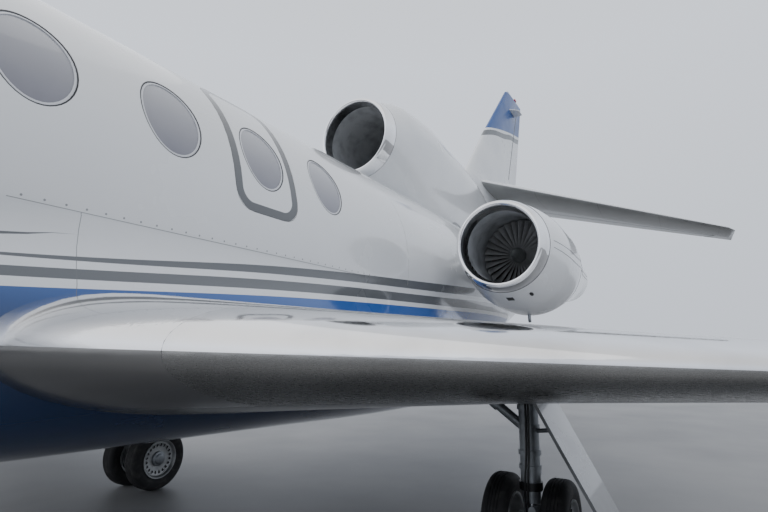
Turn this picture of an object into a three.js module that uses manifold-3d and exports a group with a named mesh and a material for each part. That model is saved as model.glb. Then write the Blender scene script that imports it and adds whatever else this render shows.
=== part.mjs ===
// A three-engined business jet, parked on its wheels, at its real size.
//
// Lengths are in millimetres. The nose points along +X, the left side is +Y and +Z is up. The origin is
// on the ground, half way along the aircraft. Stations, called s, are measured aft from the nose tip.

import * as THREE from "three";
import { mergeVertices } from "three/addons/utils/BufferGeometryUtils.js";
import Module from "manifold-3d";

const wasm = await Module();
wasm.setup();

// Driving dimensions

const LENGTH = 18520;
const SPAN = 18860;
const HEIGHT = 6980;
const NOSE_X = LENGTH / 2;

const FIT = 0.4; // gap between pieces that touch
const CLEAR = 7; // gap around pieces that move
const FAR = 3000; // longer than any cut needs

const BODY_RADIUS = 1040;
const BODY_AXIS = 2080; // height of the cabin's centre line
const WALL = 110; // from the outer skin to the cabin's lining
const FLOOR_TOP = 1400;
const FLOOR_THICKNESS = 60;
const COCKPIT_FLOOR = 1500;

const NOSE_JOINT = 900; // stations where the body's panels meet
const COCKPIT_FRONT = 1650;
const COCKPIT_REAR = 3300;
const FRONT_JOINT = 4900;
const CABIN_REAR = 10150;
const REAR_JOINT = 10300;
const TAIL_JOINT = 17300;

// Places and solids

const AFT = new THREE.Vector3(-1, 0, 0);
const LEFT = new THREE.Vector3(0, 1, 0);
const UP = new THREE.Vector3(0, 0, 1);

// A point from its station, its distance to the left and its height.
const at = (s, y, z) => new THREE.Vector3(NOSE_X - s, y, z);

const degrees = THREE.MathUtils.degToRad;

// The closed solid that a geometry bounds, with its faces turned outward.
function solidOf(geometry) {
  const plain = geometry.clone();
  plain.deleteAttribute("normal");
  plain.deleteAttribute("uv");
  const merged = mergeVertices(plain, 0.001);
  const corner = (i) => new THREE.Vector3().fromBufferAttribute(merged.attributes.position, i);
  const triangles = [];
  let volume = 0;
  for (let i = 0; i < merged.index.count; i += 3) {
    const [a, b, c] = [0, 1, 2].map((k) => merged.index.getX(i + k));
    if (a !== b && b !== c && c !== a) {
      triangles.push([a, b, c]);
      volume += corner(a).dot(corner(b).cross(corner(c)));
    }
  }
  const outward = volume < 0 ? triangles.map(([a, b, c]) => [a, c, b]) : triangles;
  return new wasm.Manifold(new wasm.Mesh({
    numProp: 3,
    vertProperties: new Float32Array(merged.attributes.position.array),
    triVerts: new Uint32Array(outward.flat()),
  }));
}

function geometryOf(solid) {
  const mesh = solid.getMesh();
  const geometry = new THREE.BufferGeometry();
  geometry.setAttribute("position", new THREE.BufferAttribute(new Float32Array(mesh.vertProperties), 3));
  geometry.setIndex(Array.from(mesh.triVerts));
  return geometry;
}

const joined = (solids) => solids.reduce((whole, piece) => whole.add(piece));
const common = (solids) => solids.reduce((whole, piece) => whole.intersect(piece));
const without = (solid, cuts) => cuts.reduce((rest, cut) => rest.subtract(cut), solid);

// The same solid on the aircraft's other side.
const mirrored = (solid) => solidOf(geometryOf(solid).scale(1, -1, 1));

const withMirror = (solid) => solid.add(mirrored(solid));

function ringNormal(ring) {
  const normal = new THREE.Vector3();
  ring.forEach((point, i) => normal.add(point.clone().cross(ring[(i + 1) % ring.length])));
  return normal.normalize();
}

// Triangles that close a flat ring.
function capTriangles(ring, outward) {
  const normal = ringNormal(ring);
  const side = Math.abs(normal.z) < 0.9 ? UP.clone() : LEFT.clone();
  const across = side.cross(normal).normalize();
  const up = normal.clone().cross(across);
  const flat = ring.map((point) => new THREE.Vector2(point.dot(across), point.dot(up)));
  return THREE.ShapeUtils.triangulateShape(flat, []).map(([a, b, c]) => {
    const turn = flat[b].clone().sub(flat[a]).cross(flat[c].clone().sub(flat[a]));
    return turn > 0 === outward ? [a, b, c] : [a, c, b];
  });
}

// A closed solid through rings of equally many points.
function loft(rings) {
  const count = rings[0].length;
  const sides = [];
  for (let r = 0; r + 1 < rings.length; r += 1) {
    for (let i = 0; i < count; i += 1) {
      const a = r * count + i;
      const b = r * count + ((i + 1) % count);
      sides.push([a, b, b + count], [a, b + count, a + count]);
    }
  }
  const travel = rings[1][0].clone().sub(rings[0][0]);
  const forward = ringNormal(rings[0]).dot(travel) > 0;
  const turned = forward ? sides : sides.map(([a, b, c]) => [a, c, b]);
  const last = (rings.length - 1) * count;
  const first = capTriangles(rings[0], !forward);
  const end = capTriangles(rings.at(-1), forward).map((face) => face.map((i) => i + last));
  const geometry = new THREE.BufferGeometry();
  geometry.setFromPoints(rings.flat());
  geometry.setIndex([...turned, ...first, ...end].flat());
  return solidOf(geometry);
}

// A box between two corners, each given by station, distance to the left and height.
function block([s0, y0, z0], [s1, y1, z1]) {
  const geometry = new THREE.BoxGeometry(Math.abs(s1 - s0), Math.abs(y1 - y0), Math.abs(z1 - z0));
  geometry.translate(NOSE_X - (s0 + s1) / 2, (y0 + y1) / 2, (z0 + z1) / 2);
  return solidOf(geometry);
}

// A flat outline, drawn along two directions from a point, pushed out square to both.
function prism(outline, origin, across, up, depth) {
  const geometry = new THREE.ExtrudeGeometry(new THREE.Shape(outline), { depth, bevelEnabled: false });
  const along = across.clone().cross(up);
  geometry.applyMatrix4(new THREE.Matrix4().makeBasis(across, up, along).setPosition(origin));
  return solidOf(geometry);
}

const outlineOf = (points) => points.map(([x, y]) => new THREE.Vector2(x, y));

// An outline shrunk toward its middle.
function shrunk(points, scale) {
  const middle = [0, 1].map((k) => points.reduce((sum, point) => sum + point[k], 0) / points.length);
  return points.map((point) => point.map((value, k) => middle[k] + (value - middle[k]) * scale));
}

function oval(width, height, points) {
  return Array.from({ length: points }, (_, i) => {
    const angle = (2 * Math.PI * i) / points;
    return [(Math.cos(angle) * width) / 2, (Math.sin(angle) * height) / 2];
  });
}

function roundedBox(width, height, radius, cornerPoints = 3) {
  const corners = [[1, 1, 0], [-1, 1, 90], [-1, -1, 180], [1, -1, 270]];
  return corners.flatMap(([x, y, start]) => Array.from({ length: cornerPoints }, (_, i) => {
    const angle = degrees(start + (90 * i) / (cornerPoints - 1));
    const across = x * (width / 2 - radius) + radius * Math.cos(angle);
    const up = y * (height / 2 - radius) + radius * Math.sin(angle);
    return [across, up];
  }));
}

// A round bar, tapered where its two radii differ.
function rod(from, to, radiusFrom, radiusTo = radiusFrom, sides = 10) {
  const along = to.clone().sub(from);
  const geometry = new THREE.CylinderGeometry(radiusTo, radiusFrom, along.length(), sides);
  geometry.translate(0, along.length() / 2, 0);
  geometry.applyQuaternion(new THREE.Quaternion().setFromUnitVectors(LEFT, along.normalize()));
  return solidOf(geometry.translate(from.x, from.y, from.z));
}

// A body of revolution about a line that runs aft, from rows of station and radius.
function turnedAft(rows, y, z, sides) {
  const geometry = new THREE.LatheGeometry(rows.map(([s, radius]) => new THREE.Vector2(radius, s)), sides);
  geometry.applyMatrix4(new THREE.Matrix4().makeBasis(LEFT, AFT, UP));
  return solidOf(geometry.translate(NOSE_X, y, z));
}

// A body of revolution about a line that runs across, with a flat of its rim turned down.
function turnedAcross(rows, centre, sides) {
  const stretch = 1 / Math.cos(Math.PI / sides);
  const profile = rows.map(([across, radius]) => new THREE.Vector2(radius * stretch, across));
  const geometry = new THREE.LatheGeometry(profile, sides).rotateY(Math.PI / sides);
  return solidOf(geometry.translate(centre.x, centre.y, centre.z));
}

// The row of a table at a value of its first column, between the rows it lists.
function rowAt(rows, value) {
  const next = Math.max(1, rows.findIndex(([first]) => first >= value));
  const [before, after] = [rows[next - 1], rows[next]];
  const share = (value - before[0]) / (after[0] - before[0]);
  return before.map((entry, i) => entry + (after[i] - entry) * share);
}

// Body

// Columns: station, half width, bottom, widest height, top.
const BODY_SECTIONS = [
  [0, 24, 1696, 1720, 1744],
  [60, 130, 1580, 1716, 1842],
  [250, 290, 1425, 1712, 1975],
  [600, 475, 1280, 1722, 2135],
  [1100, 665, 1160, 1765, 2310],
  [1700, 835, 1085, 1835, 2480],
  [2200, 930, 1056, 1930, 2800],
  [2700, 992, 1044, 2010, 3020],
  [3300, 1030, 1040, 2062, 3105],
  [3900, BODY_RADIUS, BODY_AXIS - BODY_RADIUS, BODY_AXIS, BODY_AXIS + BODY_RADIUS],
  [10400, BODY_RADIUS, BODY_AXIS - BODY_RADIUS, BODY_AXIS, BODY_AXIS + BODY_RADIUS],
  [11600, 1012, 1062, 2095, 3120],
  [12800, 930, 1180, 2160, 3115],
  [14000, 790, 1400, 2270, 3108],
  [15200, 625, 1700, 2420, 3095],
  [16400, 455, 2050, 2590, 3075],
  [TAIL_JOINT + 100, 350, 2350, 2700, 3050],
];
const BODY_SIDES = 28;
const NARROWEST = 20; // half width left where the nose closes

function bodyRing([s, width, bottom, middle, top], inset) {
  return Array.from({ length: BODY_SIDES }, (_, i) => {
    const angle = (2 * Math.PI * (i + 0.5)) / BODY_SIDES;
    const reach = Math.sin(angle) > 0 ? top - middle : middle - bottom;
    return at(s, (width - inset) * Math.cos(angle), middle + (reach - inset) * Math.sin(angle));
  });
}

// The whole body with its skin moved in by inset, or out where that is negative.
const bodySolids = new Map();

function bodySolid(inset) {
  if (!bodySolids.has(inset)) {
    const rows = BODY_SECTIONS.filter(([, width]) => width > inset + NARROWEST);
    bodySolids.set(inset, loft(rows.map((row) => bodyRing(row, inset))));
  }
  return bodySolids.get(inset);
}

function bodyPiece(from, to, inset = 0) {
  return bodySolid(inset).intersect(block([from, -FAR, 0], [to, FAR, 2 * FAR]));
}

function bodyLayer(from, to, outer, inner) {
  return bodyPiece(from, to, outer).subtract(bodyPiece(from, to, inner));
}

const bodyGrown = bodyPiece(NOSE_JOINT, TAIL_JOINT, -FIT);

// The space inside the lining between two stations, above a floor.
function cabinSpace(from, to, floor) {
  return bodyPiece(from, to, WALL).intersect(block([from, -FAR, floor], [to, FAR, floor + FAR]));
}

// A wedge of the body between two angles above the horizontal, as seen from its centre line.
function bodyWedge(from, to, low, high) {
  const corners = [low, high].map(degrees).map((angle) => [FAR * Math.cos(angle), FAR * Math.sin(angle)]);
  return prism(outlineOf([[0, 0], ...corners]), at(to, 0, BODY_AXIS), LEFT, UP, to - from);
}

// Cabin windows and exits

const WINDOW_COUNT = 7;
const WINDOW_REARMOST = 9260;
const WINDOW_PITCH = 595;
const WINDOW_WIDTH = 324;
const WINDOW_HEIGHT = 430;
const WINDOW_TILT = degrees(22.6); // how far up the body's side a window faces
const WINDOW_POINTS = 12;
const EXIT_WIDTH = 490;
const EXIT_HEIGHT = 880;
const EXIT_CORNER = 130;
const EXIT_TILT = degrees(27.4);
const EXIT_STATION = 8662;
const GLASS_BAND = 12; // depth of the strip inside the wall that carries the panes
const GLASS_RECESS = 8; // of a pane's outer face below the skin
const STRIP_MARGIN = 30; // of the strip above and below the panes, and twice its corners' radius
const JOINT_STEP = 1; // keeps a cut past the joint that it must clear

const windowStation = (i) => WINDOW_REARMOST - i * WINDOW_PITCH;

// An outline pushed out through the left wall, facing up its side by an angle.
function wallPrism(outline, station, tilt = WINDOW_TILT) {
  const up = new THREE.Vector3(0, -Math.sin(tilt), Math.cos(tilt));
  return prism(outlineOf(outline), at(station, 0, BODY_AXIS), AFT, up, FAR);
}

const windowNumbers = Array.from({ length: WINDOW_COUNT }, (_, i) => i);
const windowShape = (margin) => oval(WINDOW_WIDTH - 2 * margin, WINDOW_HEIGHT - 2 * margin, WINDOW_POINTS);
const windowHoles = joined(windowNumbers.map((i) => wallPrism(windowShape(0), windowStation(i))));
const exitShape = (margin) => roundedBox(EXIT_WIDTH - 2 * margin, EXIT_HEIGHT - 2 * margin, EXIT_CORNER);
const exitHole = wallPrism(exitShape(0), EXIT_STATION, EXIT_TILT);

function emergencyExit() {
  const plug = wallPrism(exitShape(FIT), EXIT_STATION, EXIT_TILT);
  const wall = bodyLayer(FRONT_JOINT + JOINT_STEP, CABIN_REAR, 0, WALL);
  return common([wall, plug]).subtract(windowHoles);
}

function cabinWindows() {
  const panes = joined(windowNumbers.map((i) => wallPrism(windowShape(FIT), windowStation(i))));
  const length = (WINDOW_COUNT - 1) * WINDOW_PITCH + WINDOW_WIDTH * 2;
  const height = WINDOW_HEIGHT + STRIP_MARGIN * 2;
  const band = wallPrism(
    roundedBox(length, height, STRIP_MARGIN * 2),
    windowStation((WINDOW_COUNT - 1) / 2),
  );
  const [front, rear] = [FRONT_JOINT + JOINT_STEP, CABIN_REAR - JOINT_STEP];
  const layer = (outer) => bodyLayer(front, rear, outer, WALL + GLASS_BAND);
  return joined([layer(GLASS_RECESS).intersect(panes), layer(WALL + FIT).intersect(band)]);
}

// Cockpit windows

// Corners of each pane: the front pair seen from ahead (left, height), the others from the side (s, height).
const WINDSCREEN_PANE = [[45, 2500], [540, 2440], [590, 2640], [45, 2785]];
const SIDE_PANES = [
  [[2090, 2340], [2640, 2345], [2640, 2690], [2440, 2660]],
  [[2720, 2350], [3130, 2400], [3040, 2620], [2720, 2700]],
];

const PANE_SCALE = 0.985; // of a pane to its opening
const FRONT_PANES_TO = 2900; // station that the cut of the front panes reaches from ahead
const SIDE_PANES_FROM = 300; // distance to the left from which the side panes are cut
const PANE_STRIP = [[1710, 2330], [3180, 2860]]; // station and height of the strip's two corners

const panePrisms = (scale) => withMirror(joined([
  prism(
    outlineOf(shrunk(WINDSCREEN_PANE, scale)),
    at(FRONT_PANES_TO, 0, 0),
    LEFT,
    UP,
    FRONT_PANES_TO - NOSE_JOINT,
  ),
  ...SIDE_PANES.map((pane) => (
    prism(outlineOf(shrunk(pane, scale)), at(0, SIDE_PANES_FROM, 0), AFT, UP, FAR)
  )),
]));

function windscreen() {
  const [[front, low], [rear, high]] = PANE_STRIP;
  const region = block([front, -FAR, low], [rear, FAR, high]);
  const layer = (outer) => bodyLayer(COCKPIT_FRONT + FIT, COCKPIT_REAR, outer, WALL + GLASS_BAND);
  return joined([
    layer(GLASS_RECESS).intersect(panePrisms(PANE_SCALE)),
    layer(WALL + FIT).intersect(region),
  ]);
}

// Passenger door, hinged at its sill, with its stair on the inside

const DOOR_FRONT = 3480;
const DOOR_REAR = 4280;
const DOOR_LOW = -48.6; // degrees above the horizontal, seen from the cabin's centre line
const DOOR_HIGH = 45.4;
const DOOR_GAP = 0.42; // degrees left free along the sill and the head
const DOOR_OPEN = 132; // degrees from shut to lowered
const DOOR_HINGE = at(DOOR_REAR, 694, 1294);
const STEP_COUNT = 5;
const STAIR_WIDTH = 600;
const STAIR_SLOPE = degrees(DOOR_OPEN - 88);
const STAIR_LENGTH = 1380;
const STAIR_HEAD = { out: 90, up: -40 }; // of its first tread's inner edge from the hinge
const STAIR_MARGIN = { sill: 4, head: 3 }; // degrees of the door's wedge that it leaves free

// The stair as it lies with the door lowered, turned back to where it rides with the door shut.
function doorStair() {
  const tread = (STAIR_LENGTH * Math.cos(STAIR_SLOPE)) / STEP_COUNT;
  const rise = tread * Math.tan(STAIR_SLOPE);
  const outline = [[0, -FAR / 6]];
  for (let step = 0; step < STEP_COUNT; step += 1) {
    outline.push([step * tread, -step * rise], [(step + 1) * tread, -step * rise]);
  }
  outline.push([STEP_COUNT * tread, -FAR / 2]);
  const middle = (DOOR_FRONT + DOOR_REAR) / 2;
  const rear = middle + STAIR_WIDTH / 2;
  const origin = at(rear, DOOR_HINGE.y + STAIR_HEAD.out, DOOR_HINGE.z + STAIR_HEAD.up);
  const lowered = geometryOf(prism(outlineOf(outline), origin, LEFT, UP, STAIR_WIDTH));
  lowered.translate(0, -DOOR_HINGE.y, -DOOR_HINGE.z);
  lowered.rotateX(degrees(DOOR_OPEN));
  lowered.translate(0, DOOR_HINGE.y, DOOR_HINGE.z);
  return solidOf(lowered);
}

function passengerDoor() {
  const wedge = (sill, head) => bodyWedge(DOOR_FRONT, DOOR_REAR, DOOR_LOW + sill, DOOR_HIGH - head);
  const panel = bodyLayer(COCKPIT_REAR, FRONT_JOINT, 0, WALL).intersect(wedge(0, 0));
  const inside = bodyPiece(COCKPIT_REAR, FRONT_JOINT, WALL - JOINT_STEP);
  return panel.add(common([doorStair(), inside, wedge(STAIR_MARGIN.sill, STAIR_MARGIN.head)]));
}

// Baggage door and bay in the rear of the body, on the left

const BAGGAGE_FRONT = 12720;
const BAGGAGE_REAR = 13480;
const BAGGAGE_BOTTOM = 1560;
const BAGGAGE_TOP = 2080;
const BAGGAGE_WALL = 60;
const BAGGAGE_LINTEL = 60; // width of the thinner skin round the door's opening
const HOLD_FRONT = 10420;
const HOLD_REAR = 13540;
const HOLD_FLOOR = 1330;
const HOLD_ROOF = 2480; // under the air duct
const HOLD_STEP = 12200; // station up to which the hold reaches the top of the body

// The rear body's left side about the door, from a distance to the left outward.
function baggageRegion(gap, inner) {
  return block(
    [BAGGAGE_FRONT - gap, inner, BAGGAGE_BOTTOM - gap],
    [BAGGAGE_REAR + gap, FAR, BAGGAGE_TOP + gap],
  );
}

function baggageDoor() {
  return bodyLayer(REAR_JOINT, TAIL_JOINT, 0, BAGGAGE_WALL).intersect(baggageRegion(0, 0));
}

// The hold behind the cabin's rear wall, with the recess that its door shuts.
function baggageHold() {
  const recess = bodyPiece(REAR_JOINT, TAIL_JOINT, BAGGAGE_WALL + CLEAR);
  const inside = bodyPiece(HOLD_FRONT, HOLD_REAR, WALL);
  return joined([
    recess.intersect(baggageRegion(BAGGAGE_LINTEL, 0)),
    inside.intersect(block([HOLD_FRONT, -FAR, HOLD_FLOOR], [HOLD_REAR, FAR, HOLD_ROOF])),
    inside.intersect(block([HOLD_FRONT, -FAR, HOLD_FLOOR], [HOLD_STEP, FAR, FAR + HOLD_ROOF])),
  ]);
}

// The plenum behind the air duct, then the spaces round the centre engine between its frames.
// Columns: front, rear, depth of the wall.
const TAIL_SPACES = [
  [13750, 14960, WALL],
  [15060, 15700, 70],
  [15800, 17200, 70],
];

const tailSpaces = () => joined(TAIL_SPACES.map(([from, to, wall]) => bodyPiece(from, to, wall)));

// Aerofoils

const AEROFOIL_STEPS = 7; // along each side, from the nose to the tail

// Half the thickness of a section at a share of its chord, as a share of the chord.
function halfThickness(share, thickness) {
  const root = 0.2969 * Math.sqrt(share);
  const rest = share * (-0.126 + share * (-0.3516 + share * (0.2843 - share * 0.1015)));
  return 5 * thickness * (root + rest);
}

// A ring from a section's leading and trailing edge and a rule that places each of its points.
function aerofoilRing(leading, trailing, thickness, place, grow) {
  const chord = trailing - leading;
  const angles = Array.from({ length: AEROFOIL_STEPS + 1 }, (_, i) => (Math.PI * i) / AEROFOIL_STEPS);
  const shares = angles.map((angle) => (1 - Math.cos(angle)) / 2);
  const point = (share, side) => {
    const edge = share === 0 ? -grow : share === 1 ? grow : 0;
    const half = halfThickness(share, thickness) * chord + grow;
    return place(share * chord + edge, share === 0 ? 0 : side * half);
  };
  const over = shares.slice().reverse().map((share) => point(share, 1));
  const under = shares.slice(1).map((share) => point(share, -1));
  return [...over, ...under];
}

// Wing

// Columns: distance to the left, leading edge, trailing edge, nose height, thickness share, twist in degrees.
const WING_SECTIONS = [
  [500, 7130, 11090, 1436, 0.142, 3.2],
  [1050, 7410, 11135, 1430, 0.14, 3],
  [2300, 8040, 11235, 1396, 0.105, 2.2],
  [3600, 8691, 11340, 1356, 0.078, 1.5],
  [9280, 11733, 12727, 1552, 0.08, -1],
  [SPAN / 2, 11980, 12763, 1558, 0.03, -1],
];

function wingPoint([y, leading, , nose, , twist], aft, up) {
  const turn = degrees(twist);
  const s = leading + aft * Math.cos(turn) + up * Math.sin(turn);
  return at(s, y, nose - aft * Math.sin(turn) + up * Math.cos(turn));
}

function wingSolid(grow = 0) {
  return loft(WING_SECTIONS.map((row) => {
    const [, leading, trailing, , thickness] = row;
    return aerofoilRing(leading, trailing, thickness, (aft, up) => wingPoint(row, aft, up), grow);
  }));
}

const HINGE_ROUND = 0.96; // of a surface's round nose to the aerofoil's half thickness

// Where an axis at a station inside the wing lies, and how thick the wing is round it.
function wingHinge(y, s) {
  const row = rowAt(WING_SECTIONS, y);
  const [, leading, trailing, , thickness] = row;
  const chord = trailing - leading;
  const share = (s - leading) / chord;
  return {
    centre: wingPoint(row, share * chord, 0),
    radius: halfThickness(share, thickness) * chord * HINGE_ROUND,
  };
}

// Surfaces that swing on a hinge inside the trailing part of an aerofoil

const SURFACE_REACH = 1500; // aft of the axis, past any trailing edge
const HINGE_SIDES = 16;
const COVE_SPARE = 2;

// The space aft of a hinge between its ends, with room ahead of the axis and beside both ends.
function hingeSpace({ from, to }, ahead, side) {
  const along = to.centre.clone().sub(from.centre);
  const length = along.length() + 2 * side;
  along.normalize();
  const aft = AFT.clone().addScaledVector(along, -AFT.dot(along)).normalize();
  const depth = SURFACE_REACH + ahead;
  const geometry = new THREE.BoxGeometry(length, depth, SURFACE_REACH);
  geometry.translate(length / 2 - side, depth / 2 - ahead, 0);
  const frame = new THREE.Matrix4().makeBasis(along, aft, along.clone().cross(aft));
  return solidOf(geometry.applyMatrix4(frame.setPosition(from.centre)));
}

function hingeRound({ from, to }, grow, side) {
  const along = to.centre.clone().sub(from.centre).normalize().multiplyScalar(side);
  const ends = [from.centre.clone().sub(along), to.centre.clone().add(along)];
  return rod(...ends, from.radius + grow, to.radius + grow, HINGE_SIDES);
}

// What is taken out of the fixed part, so that the surface swings free to its limit.
function hingeCove(hinge, limit) {
  const thickest = Math.max(hinge.from.radius, hinge.to.radius);
  const ahead = thickest * Math.sin(degrees(limit)) + CLEAR + COVE_SPARE;
  return hingeSpace(hinge, ahead, CLEAR).add(hingeRound(hinge, CLEAR, CLEAR));
}

const hingedPiece = (whole, hinge) => whole.intersect(hingeSpace(hinge, 0, 0)).add(hingeRound(hinge, 0, 0));

const FLAP = { from: wingHinge(1240, 10400), to: wingHinge(6400, 11550) };
const FLAP_LIMIT = 48;
const AILERON = { from: wingHinge(6500, 11575), to: wingHinge(9060, 12385) };
const AILERON_LIMIT = 25;

// Slat along the wing's nose, from the first joint outboard

const SLAT_SHARE = 0.12; // of the chord
const SLAT_INNER = 1560;
const SLAT_OUTER = 9200;
const WING_KINK = 3600;

function slatRegion(gap) {
  const edge = (y) => {
    const [, leading, trailing] = rowAt(WING_SECTIONS, y);
    return leading + (trailing - leading) * SLAT_SHARE - gap;
  };
  const inner = SLAT_INNER + gap;
  const outer = SLAT_OUTER - gap;
  const rear = [inner, WING_KINK, outer].map((y) => [edge(y), y]);
  const outline = [[0, inner], ...rear, [0, outer]];
  return prism(outlineOf(outline), at(0, 0, FAR), AFT, LEFT, 2 * FAR);
}

// Main landing gear places

const MAIN_WHEEL_RADIUS = 300;
const MAIN_GEAR = at(10200, 1990, MAIN_WHEEL_RADIUS); // the middle of the axle
const WELL_ROOF = 1350;

const wheelWell = block([9950, 1250, 500], [10370, 2110, WELL_ROOF]);

// Pads that a jack fits, under the wings and the nose

const JACK_PAD_RADIUS = 45;
const JACK_PAD_LENGTH = 120;
const WING_JACK = at(9500, 1700, 1120);
const NOSE_JACK = at(3700, 0, 1015);

const jackPad = (foot) => rod(foot, foot.clone().setZ(foot.z + JACK_PAD_LENGTH), JACK_PAD_RADIUS);

// Belly fairing

// Columns: station, half width, bottom, top of its sides.
const BELLY_SECTIONS = [
  [5900, 780, 1075, 1500],
  [6500, 930, 985, 1700],
  [7300, 1045, 925, 1905],
  [8300, 1064, 880, 1915],
  [9300, 1068, 838, 1915],
  [10600, 1068, 782, 1915],
  [11600, 1030, 765, 1780],
  [12200, 880, 900, 1620],
  [12640, 560, 1190, 1450],
];
const BELLY_WIDEST = 1480; // height at which its side turns under
const BELLY_SHOULDER = 60; // least height from there to the top of its sides
const BELLY_STEPS = 14;
const BELLY_FULLNESS = 0.72; // below one, squarer than an ellipse

function bellyRing([s, width, bottom, top], grow) {
  const widest = Math.min(BELLY_WIDEST, top - BELLY_SHOULDER);
  const under = Array.from({ length: BELLY_STEPS + 1 }, (_, i) => {
    const angle = (Math.PI * i) / BELLY_STEPS;
    const y = Math.sign(Math.cos(angle)) * Math.abs(Math.cos(angle)) ** BELLY_FULLNESS;
    const z = Math.sin(angle) ** BELLY_FULLNESS;
    return at(s, y * (width + grow), widest - z * (widest - bottom + grow));
  });
  return [at(s, width + grow, top + grow), ...under, at(s, -width - grow, top + grow)];
}

const bellySolid = (grow = 0) => loft(BELLY_SECTIONS.map((row) => bellyRing(row, grow)));

// Engines

const ENGINE_Y = 1633;
const ENGINE_Z = 2293;
const ENGINE_SIDES = 20;

const COWL_FRONT = 10927 + FIT;
const COWL_END = 13600;

// Columns: station, radius. The ring that leads air in and the engine inside the cowling.
const LIP_ROWS = [
  [10777, 362], [10797, 384], [10927, 406],
  [10927, 328], [10807, 342], [10777, 362],
];
const COWL_BORE_ROWS = [
  [COWL_FRONT - JOINT_STEP, 0], [COWL_FRONT - JOINT_STEP, 330], [11100, 336], [11370, 364], [11590, 364],
  [11740, 372], [12150, 372], [12800, 310], [COWL_END + JOINT_STEP, 272], [COWL_END + JOINT_STEP, 0],
];
const CORE_ROWS = [
  [11545, 0], [11545, 60], [11650, 60], [11650, 150], [11750, 371], [12150, 371],
  [12450, 250], [12450, 170], [13300, 0],
];
const FAN_ROWS = [[11220, 0], [11262, 38], [11340, 74], [11420, 90], [11535, 90], [11535, 0]];
const FAN_BLADES = 14;
const FAN_RADIUS = 347;
const FAN_MIDDLE = 11468;
const BLADE_CHORD = 96;
const BLADE_THICKNESS = 9;
const BLADE_PITCH = 38; // degrees
const BLADE_ROOT = 75;

// The cowling's outside, fullest below the engine. Columns: station, radius, drop of its middle.
const COWL_SECTIONS = [
  [COWL_FRONT, 406, 0], [11150, 448, 14], [11450, 484, 40], [11750, 494, 54], [12200, 440, 40],
  [12800, 358, 24], [13200, 318, 10], [COWL_END, 290, 0],
];

const leftEngine = (rows) => turnedAft(rows, ENGINE_Y, ENGINE_Z, ENGINE_SIDES);

// The whole cowling without its bore.
function cowlingOutside(grow = 0) {
  return loft(COWL_SECTIONS.map(([s, radius, drop]) => Array.from({ length: ENGINE_SIDES }, (_, i) => {
    const angle = (2 * Math.PI * i) / ENGINE_SIDES;
    const across = (radius + grow) * Math.cos(angle);
    return at(s, ENGINE_Y + across, ENGINE_Z - drop + (radius + grow) * Math.sin(angle));
  })));
}

const cowling = () => cowlingOutside().subtract(leftEngine(COWL_BORE_ROWS));

function fan() {
  const hub = leftEngine(FAN_ROWS);
  const blades = Array.from({ length: FAN_BLADES }, (_, i) => {
    const length = FAN_RADIUS - BLADE_ROOT;
    const blade = new THREE.BoxGeometry(BLADE_CHORD, BLADE_THICKNESS, length);
    blade.translate(0, 0, BLADE_ROOT + length / 2);
    blade.rotateZ(degrees(BLADE_PITCH));
    blade.rotateX((2 * Math.PI * i) / FAN_BLADES);
    const middle = at(FAN_MIDDLE, ENGINE_Y, ENGINE_Z);
    return solidOf(blade.translate(middle.x, middle.y, middle.z));
  });
  return joined([hub, ...blades]);
}

// Columns: distance to the left, leading edge, trailing edge, thickness share.
const PYLON_SECTIONS = [[600, 11550, 13750, 0.1], [1500, 11700, 13500, 0.1]];

function pylon() {
  const rings = PYLON_SECTIONS.map(([y, leading, trailing, thickness]) => {
    const place = (aft, up) => at(leading + aft, y, ENGINE_Z + up);
    return aerofoilRing(leading, trailing, thickness, place, 0);
  });
  return without(loft(rings), [bodyGrown, cowlingOutside(FIT)]);
}

// Centre engine: its intake above the body, the duct down into the body and the nozzle in the tail

const INTAKE_Z = 3687;
const INTAKE_LIP_ROWS = [
  [11000, 404], [11023, 428], [11155, 452],
  [11155, 386], [11035, 382], [11000, 404],
];

// Columns: station, half width, height of its middle, depth below that.
const INTAKE_SECTIONS = [
  [11155 + FIT, 452, 3688, 452],
  [11600, 490, 3785, 760],
  [12100, 492, 3808, 980],
  [12800, 456, 3778, 1000],
  [13500, 402, 3776, 1050],
  [14200, 320, 3780, 1100],
  [15000, 190, 3760, 1100],
  [15700, 90, 3700, 1000],
];

// Columns: station, height, radius.
const DUCT_SECTIONS = [
  [11145, INTAKE_Z, 386],
  [11700, 3655, 372],
  [12300, 3490, 352],
  [12900, 3200, 335],
  [13500, 2900, 330],
  [13800, 2790, 320],
];
const DUCT_SIDES = 20;
const INTAKE_SIDES = 24;

const ringRound = (s, z, width, over, under, sides) => Array.from({ length: sides }, (_, i) => {
  const angle = (2 * Math.PI * (i + 0.5)) / sides;
  return at(s, width * Math.cos(angle), z + (Math.sin(angle) > 0 ? over : under) * Math.sin(angle));
});

const intakeDuct = loft(DUCT_SECTIONS.map(([s, z, radius]) => (
  ringRound(s, z, radius, radius, radius, DUCT_SIDES)
)));

const TAIL_ENGINE_Z = 2700;
const NOZZLE_ROWS = [
  [TAIL_JOINT + FIT, 348], [17660, 300], [17660, 286], [TAIL_JOINT + FIT, 300], [TAIL_JOINT + FIT, 348],
];
const TAIL_ENGINE_RADIUS = 290;
const TAIL_ENGINE_ROWS = [
  [15000, 0], [15000, TAIL_ENGINE_RADIUS], [16800, TAIL_ENGINE_RADIUS], [16950, 190], [17500, 0],
];
const TAIL_ENGINE_BORE = [
  [14950, 0], [14950, TAIL_ENGINE_RADIUS + FIT],
  [TAIL_JOINT + FIT, TAIL_ENGINE_RADIUS + FIT], [TAIL_JOINT + FIT, 0],
];

const tailTurned = (rows) => turnedAft(rows, 0, TAIL_ENGINE_Z, DUCT_SIDES);

// Fin and rudder

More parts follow.
